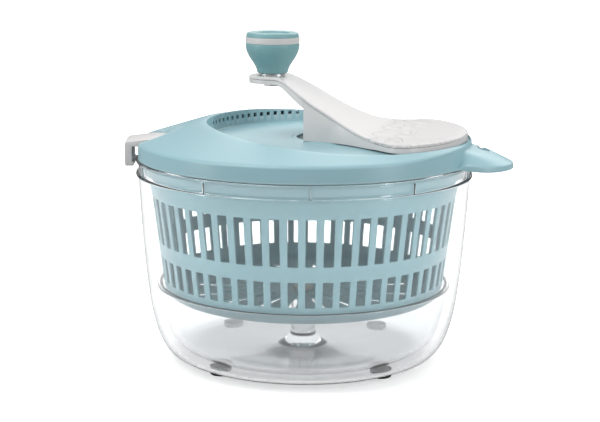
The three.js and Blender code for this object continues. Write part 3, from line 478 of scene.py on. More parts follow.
def moulding(name, base, roughness, grain=0.05, grain_scale=900.0, edge_wear_and_highlight=0.25, dust=0.12, shader=None):
    """Coloured plastic: uneven tone, satin grain, paler handled edges that are both wear and a painted highlight,
    and a little dust.
    """
    if name in bpy.data.materials:
        return bpy.data.materials[name]
    material, tree, bsdf = new_material(name)
    surface = place_group(tree, moulded_grain(), grain_scale=grain_scale, cloud_scale=16.0)
    edges = place_group(tree, worn_edges_and_painted_highlight())
    specks = place_group(tree, fine_dust(), amount=dust)
    tone = mixed(tree, surface["Cloud"], tinted(base, 0.95), tinted(base, 1.05))
    # Paler outer edges: handling wear, and also a painted highlight along edges and creases.
    worn_and_highlit = mixed(tree, calc(tree, "MULTIPLY", edges["Mask"], edge_wear_and_highlight), tone, toward_white(base, 0.5))
    dusty = mixed(tree, specks["Mask"], worn_and_highlit, toward_white(base, 0.7))
    tree.links.new(dusty, bsdf.inputs["Base Color"])
    add_roughness(tree, surface["Cloud"], roughness - 0.06, roughness + 0.08)
    add_relief(tree, surface["Height"], grain, 0.1 * MM)
    for label, value in {"IOR": 1.49, **(shader or {})}.items():
        bsdf.inputs[label].default_value = value
    return material


def clear_plastic(name, base, roughness):
    """Clear moulded plastic with a slightly uneven, lightly rubbed surface."""
    if name in bpy.data.materials:
        return bpy.data.materials[name]
    material, tree, bsdf = new_material(name)
    surface = place_group(tree, moulded_grain(), grain_scale=60.0, cloud_scale=9.0)
    tint = mixed(tree, surface["Cloud"], tinted(base, 0.985), tinted(base, 1.0))
    tree.links.new(tint, bsdf.inputs["Base Color"])
    add_roughness(tree, surface["Cloud"], roughness, roughness + 0.03)
    add_relief(tree, surface["Height"], 0.04, 0.2 * MM)
    bsdf.inputs["Transmission Weight"].default_value = 1.0
    bsdf.inputs["IOR"].default_value = 1.45
    return material


def finishes():
    return bpy.context.scene.spinner_finish


def aqua():
    return moulding("aqua_moulding", finishes().aqua, 0.34)


def deep_aqua():
    return moulding("deep_aqua_moulding", finishes().deep_aqua, 0.40)


def white():
    return moulding("white_moulding", finishes().white, 0.36, edge_wear_and_highlight=0.1)


def embossed_white():
    """The crank's white, with the fan of raised lines and fine veins on its top."""
    if "embossed_white" in bpy.data.materials:
        return bpy.data.materials["embossed_white"]
    material = moulding("embossed_white", finishes().white, 0.34, edge_wear_and_highlight=0.1)
    lines = place_group(material.node_tree, fan_lines())
    add_relief(material.node_tree, lines["Height"], 0.9, 0.7 * MM)
    return material


def nylon():
    return moulding("natural_nylon", finishes().nylon, 0.5, grain=0.1, edge_wear_and_highlight=0.1)


# Painted shade: teal darkened to near black for the crank bush, standing in for the shade deep in the lid's hub
# hole.
def painted_shade_bush():
    return moulding("shaded_bush", tinted(finishes().deep_aqua, 0.3), 0.6, edge_wear_and_highlight=0.05)


def rubber():
    return moulding("foot_rubber", finishes().rubber, 0.8, grain=0.3, grain_scale=1600.0, edge_wear_and_highlight=0.1)


def steel():
    return moulding("turned_steel", finishes().steel, 0.28, grain=0.12, grain_scale=2400.0, edge_wear_and_highlight=0.2,
                    dust=0.0, shader={"Metallic": 1.0, "Anisotropic": 0.4})


def clear():
    return clear_plastic("clear_moulding", finishes().clear, 0.02)


FINISHES = {
    "aqua": aqua, "deep_aqua": deep_aqua, "white": white, "nylon": nylon, "steel": steel, "rubber": rubber,
    "clear_shell": clear,
}


# ---- Stage -------------------------------------------------------------------------------------
BODY_CENTRE = (0, 0, 0.12)
FLOOR_HALF = 6.0


def add_light(name, place, aim, size, energy):
    data = bpy.data.lights.new(name, "AREA")
    data.shape = "RECTANGLE"
    data.size, data.size_y = size
    data.energy = energy
    lamp = bpy.data.objects.new(name, data)
    lamp.location = place
    lamp.rotation_euler = (Vector(aim) - Vector(place)).to_track_quat("-Z", "Y").to_euler()
    bpy.context.scene.collection.objects.link(lamp)
    return lamp


def seen_directly(tree):
    """1 for rays from the camera and through the clear plastic, 0 for light and reflections."""
    rays = add_node(tree, "LightPath").outputs
    return calc(tree, "MAXIMUM", rays["Is Camera Ray"], rays["Is Transmission Ray"])


def floor_finish(base):
    """Pale matt floor that throws back less light than it shows."""
    material = moulding("pale_floor", base, 0.7, grain=0.02, edge_wear_and_highlight=0.0, dust=0.0)
    tree = material.node_tree
    bsdf = tree.nodes["Principled BSDF"]
    seen = seen_directly(tree)
    shown = bsdf.inputs["Base Color"].links[0].from_socket
    tree.links.new(mixed(tree, seen, (0.42, 0.43, 0.44, 1), shown), bsdf.inputs["Base Color"])
    tree.links.new(mixed(tree, seen, (0, 0, 0, 1), (1, 1, 1, 1)), bsdf.inputs["Emission Color"])
    bsdf.inputs["Emission Strength"].default_value = 0.5
    return material


def studio_world():
    """A white backdrop; what is lit or mirrored sees soft grey walls under a bright ceiling."""
    world = bpy.data.worlds.new("studio")
    world.use_nodes = True
    tree = world.node_tree
    backdrop = tree.nodes["Background"]
    backdrop.inputs["Color"].default_value = (1, 1, 1, 1)
    backdrop.inputs["Strength"].default_value = 1.0
    place = add_node(tree, "TexCoord").outputs["Generated"]
    height = add_node(tree, "SeparateXYZ", {"Vector": place}).outputs["Z"]
    ramp = add_node(tree, "ValToRGB", {"Fac": height})
    stops = ((0.0, (0.10, 0.105, 0.11, 1)), (0.85, (0.72, 0.72, 0.72, 1)))
    for element, (position, shade_of_grey) in zip(ramp.color_ramp.elements, stops):
        element.position = position
        element.color = shade_of_grey
    walls = add_node(tree, "Background", {"Color": ramp.outputs["Color"], "Strength": 1.0})
    sides = {0: seen_directly(tree), 1: walls.outputs["Background"], 2: backdrop.outputs["Background"]}
    blend = add_node(tree, "MixShader", sides)
    tree.links.new(blend.outputs["Shader"], tree.nodes["World Output"].inputs["Surface"])
    return world


class SPINNER_OT_stage(bpy.types.Operator):
    """Sets up the camera, the studio light and the pale floor"""

    bl_idname = "spinner.stage"
    bl_label = "Studio stage"

    def execute(self, context):
        stage = context.scene.spinner_stage
        aim = Vector((0, 0, stage.aim_height))
        back = Vector((
            math.sin(stage.azimuth) * math.cos(stage.elevation),
            -math.cos(stage.azimuth) * math.cos(stage.elevation),
            math.sin(stage.elevation),
        ))
        data = bpy.data.cameras.new("camera")
        data.lens = stage.lens
        data.sensor_width = 36.0
        data.shift_x = -0.0065
        camera = bpy.data.objects.new("camera", data)
        camera.location = aim + back * stage.distance
        level = (-back).to_track_quat("-Z", "Y")
        camera.rotation_euler = (level @ Quaternion((0, 0, 1), stage.roll)).to_euler()
        context.scene.collection.objects.link(camera)
        context.scene.camera = camera

        context.scene.world = studio_world()
        context.scene.view_settings.view_transform = "Standard"

        add_light("key", (-0.5, -0.5, 1.5), (0, 0, 0.1), (0.9, 0.9), 9)
        add_light("strip_left", (-1.1, -0.75, 0.5), BODY_CENTRE, (0.16, 1.0), 6)
        add_light("strip_right", (1.2, -0.5, 0.5), BODY_CENTRE, (0.16, 1.0), 6)
        panel = add_light("panel", (0.4, 1.9, 1.45), BODY_CENTRE, (3.0, 1.4), 27)
        panel.visible_camera = False
        panel.visible_transmission = False

        bm = bmesh.new()
        corners = [(-1, -1), (1, -1), (1, 1), (-1, 1)]
        bm.faces.new([bm.verts.new((FLOOR_HALF * x, FLOOR_HALF * y, FOOT_LO.z)) for x, y in corners])
        floor = finish_mesh("floor", bm)
        floor.data.materials.append(floor_finish(stage.floor))
        return {"FINISHED"}


# ---- Bowl and feet -----------------------------------------------------------------------------
NECK_RIBS = 10
FIRST_RIB = math.radians(-74.5)


def vessel_outline(base_r, base_z, corner_r, corner_z, rim_r, rim_z, steps=14):
    """Flat base, soft corner and a wall that leans out to the rim, as (radius, height)."""
    rise = corner_z - base_z
    corner = bezier((base_r, base_z), (base_r + 0.56 * (corner_r - base_r), base_z),
                    (corner_r - 0.12 * rise, base_z + 0.38 * rise), (corner_r, corner_z), steps)
    bend = Vector((corner_r + 0.6 * (rim_r - corner_r), corner_z + 0.32 * (rim_z - corner_z)))
    start, end = Vector((corner_r, corner_z)), Vector((rim_r, rim_z))
    wall = bezier(start, start.lerp(bend, 2 / 3), end.lerp(bend, 2 / 3), end, steps)
    return corner + wall + [end]


def offset_outline(outline, wall):
    """The inner face of a wall, from the run of its outer face."""
    inner = []
    for i, point in enumerate(outline):
        run = (outline[min(i + 1, len(outline) - 1)] - outline[max(i - 1, 0)]).normalized()
        inner.append(Vector((point.x - run.y * wall, point.y + run.x * wall)))
    return inner


def as_points(outline):
    return [(p[0], p[1], 0.0) for p in outline]


class SPINNER_OT_bowl(bpy.types.Operator):
    """Makes the clear bowl with its lip, bead and neck ribs"""

    bl_idname = "spinner.bowl"
    bl_label = "Bowl"

    def execute(self, context):
        sizes = context.scene.spinner_sizes
        out_r = BOWL_HI.x
        wall_r = out_r - sizes.lip_reach
        top = BOWL_HI.z
        lip = top - 1.9 * MM
        bead = lip - 10 * MM
        bead_top = bead + 1.6 * MM
        face = vessel_outline(sizes.bowl_base, 0, wall_r - sizes.bowl_flare, sizes.bowl_corner, wall_r, bead)
        inner = offset_outline(face, sizes.bowl_wall)
        in_r = wall_r - sizes.bowl_wall
        points = [(0, 0, 0)] + as_points(face)
        points += [
            (out_r, bead + 0.1 * MM, 0.8 * MM), (out_r, bead_top, 0.8 * MM),
            (wall_r, bead_top + 0.3 * MM, 0.5 * MM), (wall_r, lip - 0.6 * MM, 0.5 * MM),
            (out_r, lip, 0.7 * MM), (out_r, top, 0.7 * MM), (in_r, top, 0.8 * MM),
        ]
        points += as_points(reversed(inner)) + [(0, sizes.bowl_wall, 0)]
        bowl = lathe("bowl_clear", rounded(points), steps=192)
        settle(bowl, "bowl", "clear_shell", "bowl")

        ribs = bmesh.new()
        foot, crest = wall_r - 0.3 * MM, wall_r + 1.1 * MM
        ridge = [(foot, -1.0 * MM), (crest, 0), (foot, 1.0 * MM)]
        for k in range(NECK_RIBS):
            turn = FIRST_RIB + 2 * math.pi * k / NECK_RIBS
            c, s = math.cos(turn), math.sin(turn)
            plan = [(c * r - s * y, s * r + c * y) for r, y in ridge]
            loft(ribs, [[ribs.verts.new((x, y, z)) for x, y in plan] for z in (bead_top, lip)])
        neck = soften(finish_mesh("bowl_neck_ribs", ribs), 0.1 * MM, 2)
        settle(neck, "bowl", "clear_shell")
        return {"FINISHED"}


class SPINNER_OT_feet(bpy.types.Operator):
    """Makes the four rubber feet"""

    bl_idname = "spinner.feet"
    bl_label = "Feet"

    def execute(self, context):
        radius = (FOOT_HI.x - FOOT_LO.x) / 2
        for number in range(1, 5):
            low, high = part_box(f"foot_{number}")
            centre = (low + high) / 2
            points = [
                (0, low.z + 0.5 * MM, 0), (radius - 3 * MM, low.z + 0.5 * MM, 0.5 * MM),
                (radius - 2.2 * MM, low.z, 0.5 * MM), (radius - 0.2 * MM, low.z, 0.9 * MM),
                (radius, 0, 0), (0, 0, 0),
            ]
            foot = lathe(f"foot_pad_{number}", rounded(points), 48, centre.x, centre.y)
            settle(foot, "bowl", "rubber", f"foot_{number}")
        return {"FINISHED"}


# ---- Tray --------------------------------------------------------------------------------------
class SPINNER_OT_tray(bpy.types.Operator):
    """Makes the clear drip tray with its centre post"""

    bl_idname = "spinner.tray"
    bl_label = "Drip tray"

    def execute(self, context):
        sizes = context.scene.spinner_sizes
        rim_r, top, base = TRAY_HI.x, TRAY_HI.z, TRAY_LO.z
        wall_r = rim_r - sizes.tray_flange
        under = top - 1.6 * MM
        pin_lo, pin_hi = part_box("pivot_pin")
        post_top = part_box("pivot_bush")[0].z
        bore = pin_hi.x + FIT
        floor = base + sizes.tray_wall
        face = vessel_outline(sizes.tray_base, base, wall_r - 4.5 * MM, 26 * MM, wall_r, under)
        inner = offset_outline(face, sizes.tray_wall)
        points = [(0, base, 0)] + as_points(face)
        points += [(rim_r, under, 0.5 * MM), (rim_r, top, 0.6 * MM)]
        points += [(wall_r - sizes.tray_wall, top, 0.6 * MM)]
        points += as_points(reversed(inner))
        points += [
            (17 * MM, floor, 3 * MM), (9 * MM, floor + 8 * MM, 4 * MM), (9 * MM, post_top, 0.6 * MM),
            (bore, post_top, 0.3 * MM), (bore, pin_lo.z, 0), (0, pin_lo.z, 0),
        ]
        tray = lathe("drip_tray_clear", rounded(points), steps=176)
        settle(tray, "tray", "clear_shell", "drip_tray")
        return {"FINISHED"}


# ---- Basket ------------------------------------------------------------------------------------
SLOT_ROWS = ((59.5 * MM, 78 * MM), (89.3 * MM, 123.3 * MM))
FLOOR_SLOTS = 16
FLOOR_SLOT_COLUMNS = 4
DRIVE_RIBS = 6


class SPINNER_OT_basket(bpy.types.Operator):
    """Makes the slotted basket with its floor and drive ribs"""

    bl_idname = "spinner.basket"
    bl_label = "Basket"

    def execute(self, context):
        sizes = context.scene.spinner_sizes
        lip_r, top, low = BASKET_HI.x, BASKET_HI.z, BASKET_LO.z
        wall_r = lip_r - 2 * MM
        corner_r = wall_r - 10.5 * MM
        corner_z = low + 10 * MM
        lip_z = top - 1.8 * MM
        hub_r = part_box("pivot_bush")[1].x - 3.3 * MM + FIT
        lower, upper = SLOT_ROWS

        def radius(z):
            return corner_r + (wall_r - corner_r) * (z - corner_z) / (lip_z - corner_z)

        outline = [(hub_r, low), (26 * MM, low), (corner_r - 24 * MM, low)]
        outline += [tuple(p) for p in bezier((corner_r - 14 * MM, low), (corner_r - 5 * MM, low + 0.7 * MM),
                                             (corner_r - 0.8 * MM, low + 4 * MM), (corner_r, corner_z), 6)]
        heights = [corner_z, *lower, (lower[1] + upper[0]) / 2, *upper, 131 * MM, lip_z]
        outline += [(radius(z), z) for z in heights]
        slotted = [outline.index((radius(z), z)) for z, _ in SLOT_ROWS]
        pitch = 2 * math.pi / sizes.slots
        columns = []
        for k in range(sizes.slots):
            middle = (k + 0.5) * pitch
            half = pitch * sizes.slot_fill / 2
            columns += [(middle - half, True), (middle, True)]
            columns += [(middle + half, False), (middle + pitch / 2, False)]
        floor_pitch = len(columns) // FLOOR_SLOTS
        bm = bmesh.new()
        rings = [
            [bm.verts.new((r * math.cos(turn), r * math.sin(turn), z)) for turn, _ in columns]
            for r, z in outline
        ]
        for row, (inside, outside) in enumerate(zip(rings, rings[1:])):
            for k, (_, is_slot) in enumerate(columns):
                n = (k + 1) % len(columns)
                open_wall = row in slotted and is_slot
                open_floor = row == 1 and k % floor_pitch < FLOOR_SLOT_COLUMNS
                if not (open_wall or open_floor):
                    bm.faces.new((inside[k], inside[n], outside[n], outside[k]))
        basket = finish_mesh("basket_slotted", bm, 60)
        modified(basket, "SOLIDIFY", thickness=sizes.basket_wall, offset=-1.0, use_even_offset=True)
        soften(basket, 0.45 * MM, 2)
        settle(basket, "basket", "aqua", "basket")

        lip_in = wall_r - sizes.basket_wall
        lip = lathe("basket_lip", rounded([
            (lip_in, lip_z + FIT, 0), (wall_r + 1.2 * MM, lip_z - 0.6 * MM, 0.5 * MM),
            (lip_r, lip_z - 0.6 * MM, 0.6 * MM), (lip_r, top, 0.8 * MM), (lip_in, top, 0.6 * MM),
            (lip_in, lip_z + FIT, 0),
        ]), steps=224)
        settle(lip, "basket", "aqua")

        bars = bmesh.new()
        for k in range(DRIVE_RIBS):
            turn = 2 * math.pi * k / DRIVE_RIBS
            box_at(bars, (lip_in - 1.2 * MM, 0, lip_z - 5.5 * MM), (4 * MM, 4 * MM, 11 * MM), turn)
        ribs = soften(finish_mesh("basket_drive_ribs", bars), 0.5 * MM)
        settle(ribs, "basket", "aqua")
        return {"FINISHED"}


# ---- Lid ---------------------------------------------------------------------------------------
SHOULDER_Z = SKIRT_Z + 12.6 * MM
CREST_Z = LID_HI.z
CREST_R = 77 * MM
DISH_Z = SKIRT_Z + 15 * MM
LIP_Z = DISH_Z + 2 * MM
CRANK_GAP = 0.8 * MM
DRAINS = 16
DRAIN_FIRST = math.radians(122)
DRAIN_LAST = math.radians(179)
TAB_SLOT_R = 4.8 * MM
TAB_SLOT_LENGTH = 22 * MM
TAB_SLOT_TURN = math.radians(13)


def cone_height(radius):
    """Height of the lid's cone at a distance from the bowl's axis, eased into its crest."""
    run = LID_R - 1.6 * MM
    slope = (CREST_Z - SHOULDER_Z) / (run - CREST_R)
    straight = SHOULDER_Z + (run - radius) * slope
    ease = 1.3 * MM
    gap = CREST_Z - straight
    return CREST_Z - 0.5 * (gap + math.sqrt(gap * gap + ease * ease)) if gap < 8 * MM else straight


def rim_distance(turn):
    """From the crank axis to the skirt, in one direction."""
    return -CRANK_X * math.cos(turn) + math.sqrt(LID_R**2 - (CRANK_X * math.sin(turn)) ** 2)


def from_bowl_axis(turn, reach):
    return math.hypot(CRANK_X + reach * math.cos(turn), reach * math.sin(turn))


def lid_section(turn, sizes):
    """The lid's section in one direction from the crank axis, as (distance, height)."""
    dish_r = LID_R - CRANK_X - sizes.dish_lip
    wall = sizes.lid_wall
    rim = rim_distance(turn)
    gap = rim - dish_r
    edge = dish_r + 0.5 * MM
    cone_here = cone_height(from_bowl_axis(turn, edge))
    lift = LIP_Z - cone_here
    ease = 1.0 * MM
    lip = cone_here + 0.5 * (lift + math.sqrt(lift * lift + ease * ease))
    lip = min(lip, CREST_Z)
    rise = smooth_step((12 * MM - gap) / (12 * MM))
    shoulder = SHOULDER_Z + (LIP_Z - SHOULDER_Z - 0.2 * MM) * rise
    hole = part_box("crank_bush")[1].y - 3 * MM
    floor = DISH_Z
    points = [
        (hole, floor - wall, 0), (hole, floor + 0.9 * MM, 0.8 * MM),
        (hole + 2.2 * MM, floor + 0.9 * MM, 1.4 * MM), (hole + 4.5 * MM, floor, 1.6 * MM),
        (0.6 * dish_r + 0.4 * hole, floor, 0), (dish_r, floor, 1.6 * MM), (edge, lip, 0.8 * MM),
    ]
    land = max(rim - 1.4 * MM - edge, 0.2 * MM)
    for k in range(1, 7):
        reach = edge + land * k / 7
        cone = cone_height(from_bowl_axis(turn, reach))
        slope_down = lip + (shoulder - lip) * k / 7
        points.append((reach, max(cone, slope_down) if gap < 30 * MM else cone, 0))
    points.append((edge + land, shoulder, 0.9 * MM))
    points.append((max(rim, edge + land + 0.5 * MM), shoulder - 1.4 * MM, 1.0 * MM))
    points += tab_points(turn, rim, shoulder, sizes)
    cavity_r = min(dish_r + wall, rim - wall)
    space = smooth_step((rim - wall - dish_r - wall) / (4 * MM))
    ceiling = floor - wall + (shoulder - 1.2 * MM - floor) * space
    points.append((rim - wall, ceiling, 0.8 * MM))
    for k in range(1, 5):
        reach = rim - wall + (cavity_r - rim + wall) * k / 5
        top = cone_height(from_bowl_axis(turn, max(reach, edge))) - wall
        points.append((reach, floor - wall + (min(top, lip - wall) - floor + wall) * space, 0))
    points.append((cavity_r, floor - wall + (lip - wall - floor + wall) * space, 0.5 * MM))
    points.append((cavity_r, floor - wall, 0))
    return points


def tab_points(turn, rim, shoulder, sizes):
    """Outside of the skirt from its top to its inner foot; near the tab it runs out along the tongue."""
    across = rim * math.sin(turn)
    full = sizes.tab_reach if math.cos(turn) > 0 else 0.0
    raw = full * (1 - (across / sizes.tab_half) ** 2) if full else -1.0
    soft = 5 * MM
    reach = max(0.5 * (raw + math.sqrt(raw * raw + soft * soft)) - 0.25 * MM, 0.0) if full else 0.0
    if raw < -40 * MM:
        reach = 0.0
    reach = min(reach, sizes.tab_reach)
    part = smooth_step(reach / (0.8 * sizes.tab_reach))
    root = SKIRT_Z + 1.6 * MM + 10.6 * MM * part
    edge_top = SKIRT_Z + 1.4 * MM + (0.6 * MM + 2.2 * MM * (1 - part)) * smooth_step(reach / (6 * MM))
    thick = (1.2 + 3.0 * smooth_step(reach / (8 * MM))) * MM
    middle = edge_top + (root - edge_top) * 0.72
    return [
        (rim, root + 2.4 * MM, 0), (rim, root, 2.2 * MM),
        (rim + 0.45 * reach, middle, 0.3 * reach), (rim + reach - 0.4 * MM * part, edge_top, 1.1 * MM),
        (rim + reach, edge_top - thick, 1.1 * MM), (rim + 0.82 * reach, edge_top - thick, 0.8 * MM),
        (rim + 0.45 * reach, middle - 2.8 * MM * part - 1.0 * MM, 0.2 * reach), (rim, SKIRT_Z, 0.5 * MM),
        (rim - sizes.lid_wall, SKIRT_Z, 0.5 * MM),
    ]


def latch_outline(half, centre, outer, steps=40):
    """Plan of the latch or its recess: a round inner end and straight sides, on the -X side."""
    arc = [math.pi / 2 - math.pi * k / steps for k in range(steps + 1)]
    outline = [(-centre + half * math.cos(a), half * math.sin(a)) for a in arc]
    return outline + [(-outer, -half), (-outer, half)]


class SPINNER_OT_lid(bpy.types.Operator):
    """Makes the lid's shell with its dish, drains, tab and latch recess"""

    bl_idname = "spinner.lid"
    bl_label = "Lid"

    def execute(self, context):
        sizes = context.scene.spinner_sizes
        steps = 256
        turns = [2 * math.pi * (k + 0.5) / steps for k in range(steps)]
        sections = [rounded(lid_section(turn, sizes), 4) for turn in turns]
        bm = bmesh.new()
        columns = [
            [bm.verts.new((CRANK_X + p[0] * math.cos(turn), p[0] * math.sin(turn), p[1])) for p in section]
            for turn, section in zip(turns, sections)
        ]
        rings = [list(ring) for ring in zip(*columns)]
        skin_rings(bm, rings, closed_rows=True)
        lid = finish_mesh("lid_moulding", bm, 40)

        self.add_recess(lid, sizes)
        self.cut_drains(lid, sizes)
        self.cut_tab_slot(lid)
        soften(lid, 0.35 * MM, 2, 40)
        settle(lid, "lid", "aqua", "lid_shell")

        in_r = BOWL_HI.x - sizes.lip_reach - sizes.bowl_wall - 3 * FIT
        plug = lathe("lid_plug_ring", rounded([
            (in_r - 2 * MM, SKIRT_Z - 4 * MM, 0), (in_r - 1.6 * MM, LID_LO.z, 0.4 * MM),
            (in_r, LID_LO.z, 0.5 * MM), (in_r, SHOULDER_Z - 3 * MM, 0),
            (in_r - 2 * MM, SHOULDER_Z - 3 * MM, 0), (in_r - 2 * MM, SKIRT_Z - 4 * MM, 0),
        ]), steps=192)
        settle(plug, "lid", "aqua")
        return {"FINISHED"}

    def add_recess(self, lid, sizes):
        half = sizes.latch_width / 2 + sizes.latch_room
        centre = LID_R + sizes.latch_reach - sizes.latch_width / 2
        floor = SHOULDER_Z - 11.4 * MM
        bm = bmesh.new()
        outer = latch_outline(half + 2.2 * MM, centre, LID_R - 3 * MM)
        inner = latch_outline(half - 0.3 * MM, centre, LID_R - 5 * MM)

        def ring(outline, height):
            return [bm.verts.new((x, y, height(x, y))) for x, y in outline]

        def under_top(x, y):
            return cone_height(math.hypot(x, y)) - 1.3 * MM

        rings = [
            ring(outer, lambda x, y: SKIRT_Z), ring(outer, under_top),
            ring(inner, under_top), ring(inner, lambda x, y: floor),
        ]
        loft(bm, rings)
        cut(lid, spun(finish_mesh("recess_tub", bm), LATCH_TURN), "UNION")
        space = prism("recess_cut", latch_outline(half, centre, LID_R + 20 * MM), floor, CREST_Z + 20 * MM)
        cut(lid, spun(space, LATCH_TURN))
        gate = bmesh.new()
        size = (20 * MM, 2 * half, 40 * MM)
        box_at(gate, (-LID_R - 10 * MM + 2.6 * MM, 0, SKIRT_Z + 18 * MM), size, LATCH_TURN)
        cut(lid, finish_mesh("recess_gate", gate))

    def cut_drains(self, lid, sizes):
        bm = bmesh.new()
        reach = LID_R - CRANK_X - sizes.dish_lip + 1 * MM
        for k in range(DRAINS):
            turn = DRAIN_FIRST + (DRAIN_LAST - DRAIN_FIRST) * k / (DRAINS - 1)
            box_at(bm, (reach, 0, DISH_Z + 7 * MM), (9 * MM, 3 * MM, 3 * MM), turn, (CRANK_X, 0))
        cut(lid, finish_mesh("drain_cut", bm))

    def cut_tab_slot(self, lid):
        """A teardrop: round at one end, and drawn in to a point along its length."""
        arc = [math.pi + math.pi * k / 20 for k in range(21)]
        drop = [(TAB_SLOT_R * math.cos(a), TAB_SLOT_R * math.sin(a)) for a in arc]
        side = [(TAB_SLOT_R * (1 - t**2.2), TAB_SLOT_LENGTH * t) for t in (0.2, 0.4, 0.6, 0.8, 0.92)]
        drop += side + [(-0.4 * MM, TAB_SLOT_LENGTH)] + [(-x, y) for x, y in reversed(side)]
        c, s = math.cos(TAB_SLOT_TURN), math.sin(TAB_SLOT_TURN)
        centre = (LID_R + 9.6 * MM, 5 * MM)
        outline = [(centre[0] + x * c - y * s, centre[1] + x * s + y * c) for x, y in drop]
        cut(lid, prism("slot_cut", outline, SKIRT_Z - 20 * MM, SKIRT_Z + 30 * MM))


# ---- Latch -------------------------------------------------------------------------------------
LATCH_CUT = 0.3  # height of the shapes that trim the latch, well above it


class SPINNER_OT_latch(bpy.types.Operator):
    """Makes the rim latch with its cap, leg and hook"""

    bl_idname = "spinner.latch"
    bl_label = "Latch"

    def execute(self, context):
        sizes = context.scene.spinner_sizes
        outer = LID_R + sizes.latch_reach
        inner = outer - sizes.latch_width
        half = sizes.latch_width / 2
        top, low = LATCH_HI.z, LATCH_LO.z
        pin_x, pin_z = -PIN_R, PIN_AT.z
        nose = BOWL_HI.x + FIT
        leg = outer - 6.3 * MM
        hook = BOWL_HI.z - 2.2 * MM
        side = rounded([
            (-outer + 2 * MM, low, 0), (-nose - 0.6 * MM, low, 0.5 * MM), (-nose, low + 0.8 * MM, 0.4 * MM),
            (-nose, hook, 0.4 * MM), (-leg, hook + 1 * MM, 0.5 * MM), (-leg, pin_z + 2 * MM, 1 * MM),
            (pin_x - 3.5 * MM, pin_z + 1.5 * MM, 0.5 * MM), (pin_x - 3 * MM, pin_z - 2.2 * MM, 2 * MM),
            (pin_x, pin_z - 4.4 * MM, 3 * MM), (pin_x + 3 * MM, pin_z - 2.2 * MM, 2 * MM),
            (pin_x + 3.6 * MM, top - 4.2 * MM, 1 * MM), (-inner, top - 3.4 * MM, 0.8 * MM),
            (-inner, top - 0.2 * MM, 1.2 * MM), (-inner - 14 * MM, top - 0.9 * MM, 6 * MM),
            (-outer + 0.4 * MM, top - 3.3 * MM, 4 * MM), (-outer, top - 10 * MM, 2 * MM),
            (-outer, low + 2 * MM, 1 * MM), (-outer + 2 * MM, low, 0),
        ])
        latch = slab("latch_cap", side[:-1], 2 * half)
        plan = latch_outline(half, outer - half, outer + 9 * MM, 64)
        cut(latch, prism("latch_plan", plan, 0, LATCH_CUT), "INTERSECT")
        cut(latch, prism("latch_round", circle(outer, 360), 0, LATCH_CUT), "INTERSECT")
        cut(latch, slab("latch_bore", circle(1.8 * MM, 24, pin_x, pin_z), 2 * half))
        soften(latch, 0.7 * MM, 3)
        spun(latch, LATCH_TURN)
        settle(latch, "latch", "white", "latch")
        return {"FINISHED"}


# ---- Crank -------------------------------------------------------------------------------------
ARM_TOP = COVER_HI.z
PADDLE_R = COVER_HI.x - CRANK_X
ARM_END_R = 17.5 * MM
PADDLE_Z = DISH_Z + 7.2 * MM
BLOCK_START = -20 * MM
CRANK_R = CRANK_X - KNOB_X


def arm_height(s):
    """Top line of the arm along its length: level, an S-shaped neck, and level again."""
    rise = ARM_TOP - PADDLE_Z
    knots = [
        (-0.2, 1.0), (-44 * MM, 1.0), (-39 * MM, 0.965), (-28 * MM, 0.80), (-20 * MM, 0.67),
        (-13 * MM, 0.555), (3 * MM, 0.325), (18 * MM, 0.14), (28 * MM, 0.06), (38 * MM, 0.018),
        (50 * MM, 0.0), (0.3, 0.0),
    ]
    for i in range(len(knots) - 1):
        if s <= knots[i + 1][0]:
            break
    before, here, there, after = (knots[min(max(i + k, 0), len(knots) - 1)] for k in (-1, 0, 1, 2))

    def tangent(a, b):
        return (b[1] - a[1]) / (b[0] - a[0]) if b[0] > a[0] else 0.0

    span = there[0] - here[0]
    t = min(max((s - here[0]) / span, 0.0), 1.0)
    m0, m1 = tangent(before, there) * span, tangent(here, after) * span
    h = (2 * t**3 - 3 * t**2 + 1) * here[1] + (t**3 - 2 * t**2 + t) * m0
    h += (-2 * t**3 + 3 * t**2) * there[1] + (t**3 - t**2) * m1
    return PADDLE_Z + rise * h


def arm_side():
    """One side of the arm's plan, from the knob end to the paddle's end, as (along, half width)."""
    side = []
    for k in range(25):
        a = math.pi - (math.pi / 2) * k / 24
        side.append(Vector((-CRANK_R + ARM_END_R * math.cos(a), ARM_END_R * math.sin(a))))
    spread = math.radians(45)
    corner = Vector((PADDLE_R * math.cos(spread), PADDLE_R * math.sin(spread)))
    cheek = Vector((0.6 * PADDLE_R, 0.783 * PADDLE_R))
    flank = Vector((0.52 * PADDLE_R, 0.715 * PADDLE_R))
    waist = Vector((-8 * MM, 32 * MM))
    end = Vector((-CRANK_R, ARM_END_R))
    side = side[:-1]
    side += bezier(end, (-36 * MM, ARM_END_R + 0.5 * MM), (-28 * MM, 30 * MM), waist, 20)
    side += bezier(waist, (14 * MM, 33.5 * MM), (30 * MM, 52 * MM), flank, 24)
    side += bezier(flank, flank.lerp(cheek, 2 / 3), corner.lerp(cheek, 2 / 3), corner, 10)
    for k in range(41):
        a = spread * (1 - k / 40)
        side.append(Vector((PADDLE_R * math.cos(a), PADDLE_R * math.sin(a))))
    side[0].y = 0.0
    side[-1].y = 0.0
    return side


def arm_underside(along):
    """Underside of the arm: thicker towards the block, down to the lid under it, thin under the paddle."""
    if along < BLOCK_START:
        return arm_height(along) - 5.5 * MM - 2.5 * MM * smooth_step((along + 44 * MM) / (22 * MM))
    low, high = DISH_Z + CRANK_GAP, PADDLE_Z - 6 * MM
    return low + (high - low) * smooth_step((along - 32 * MM) / (8 * MM))


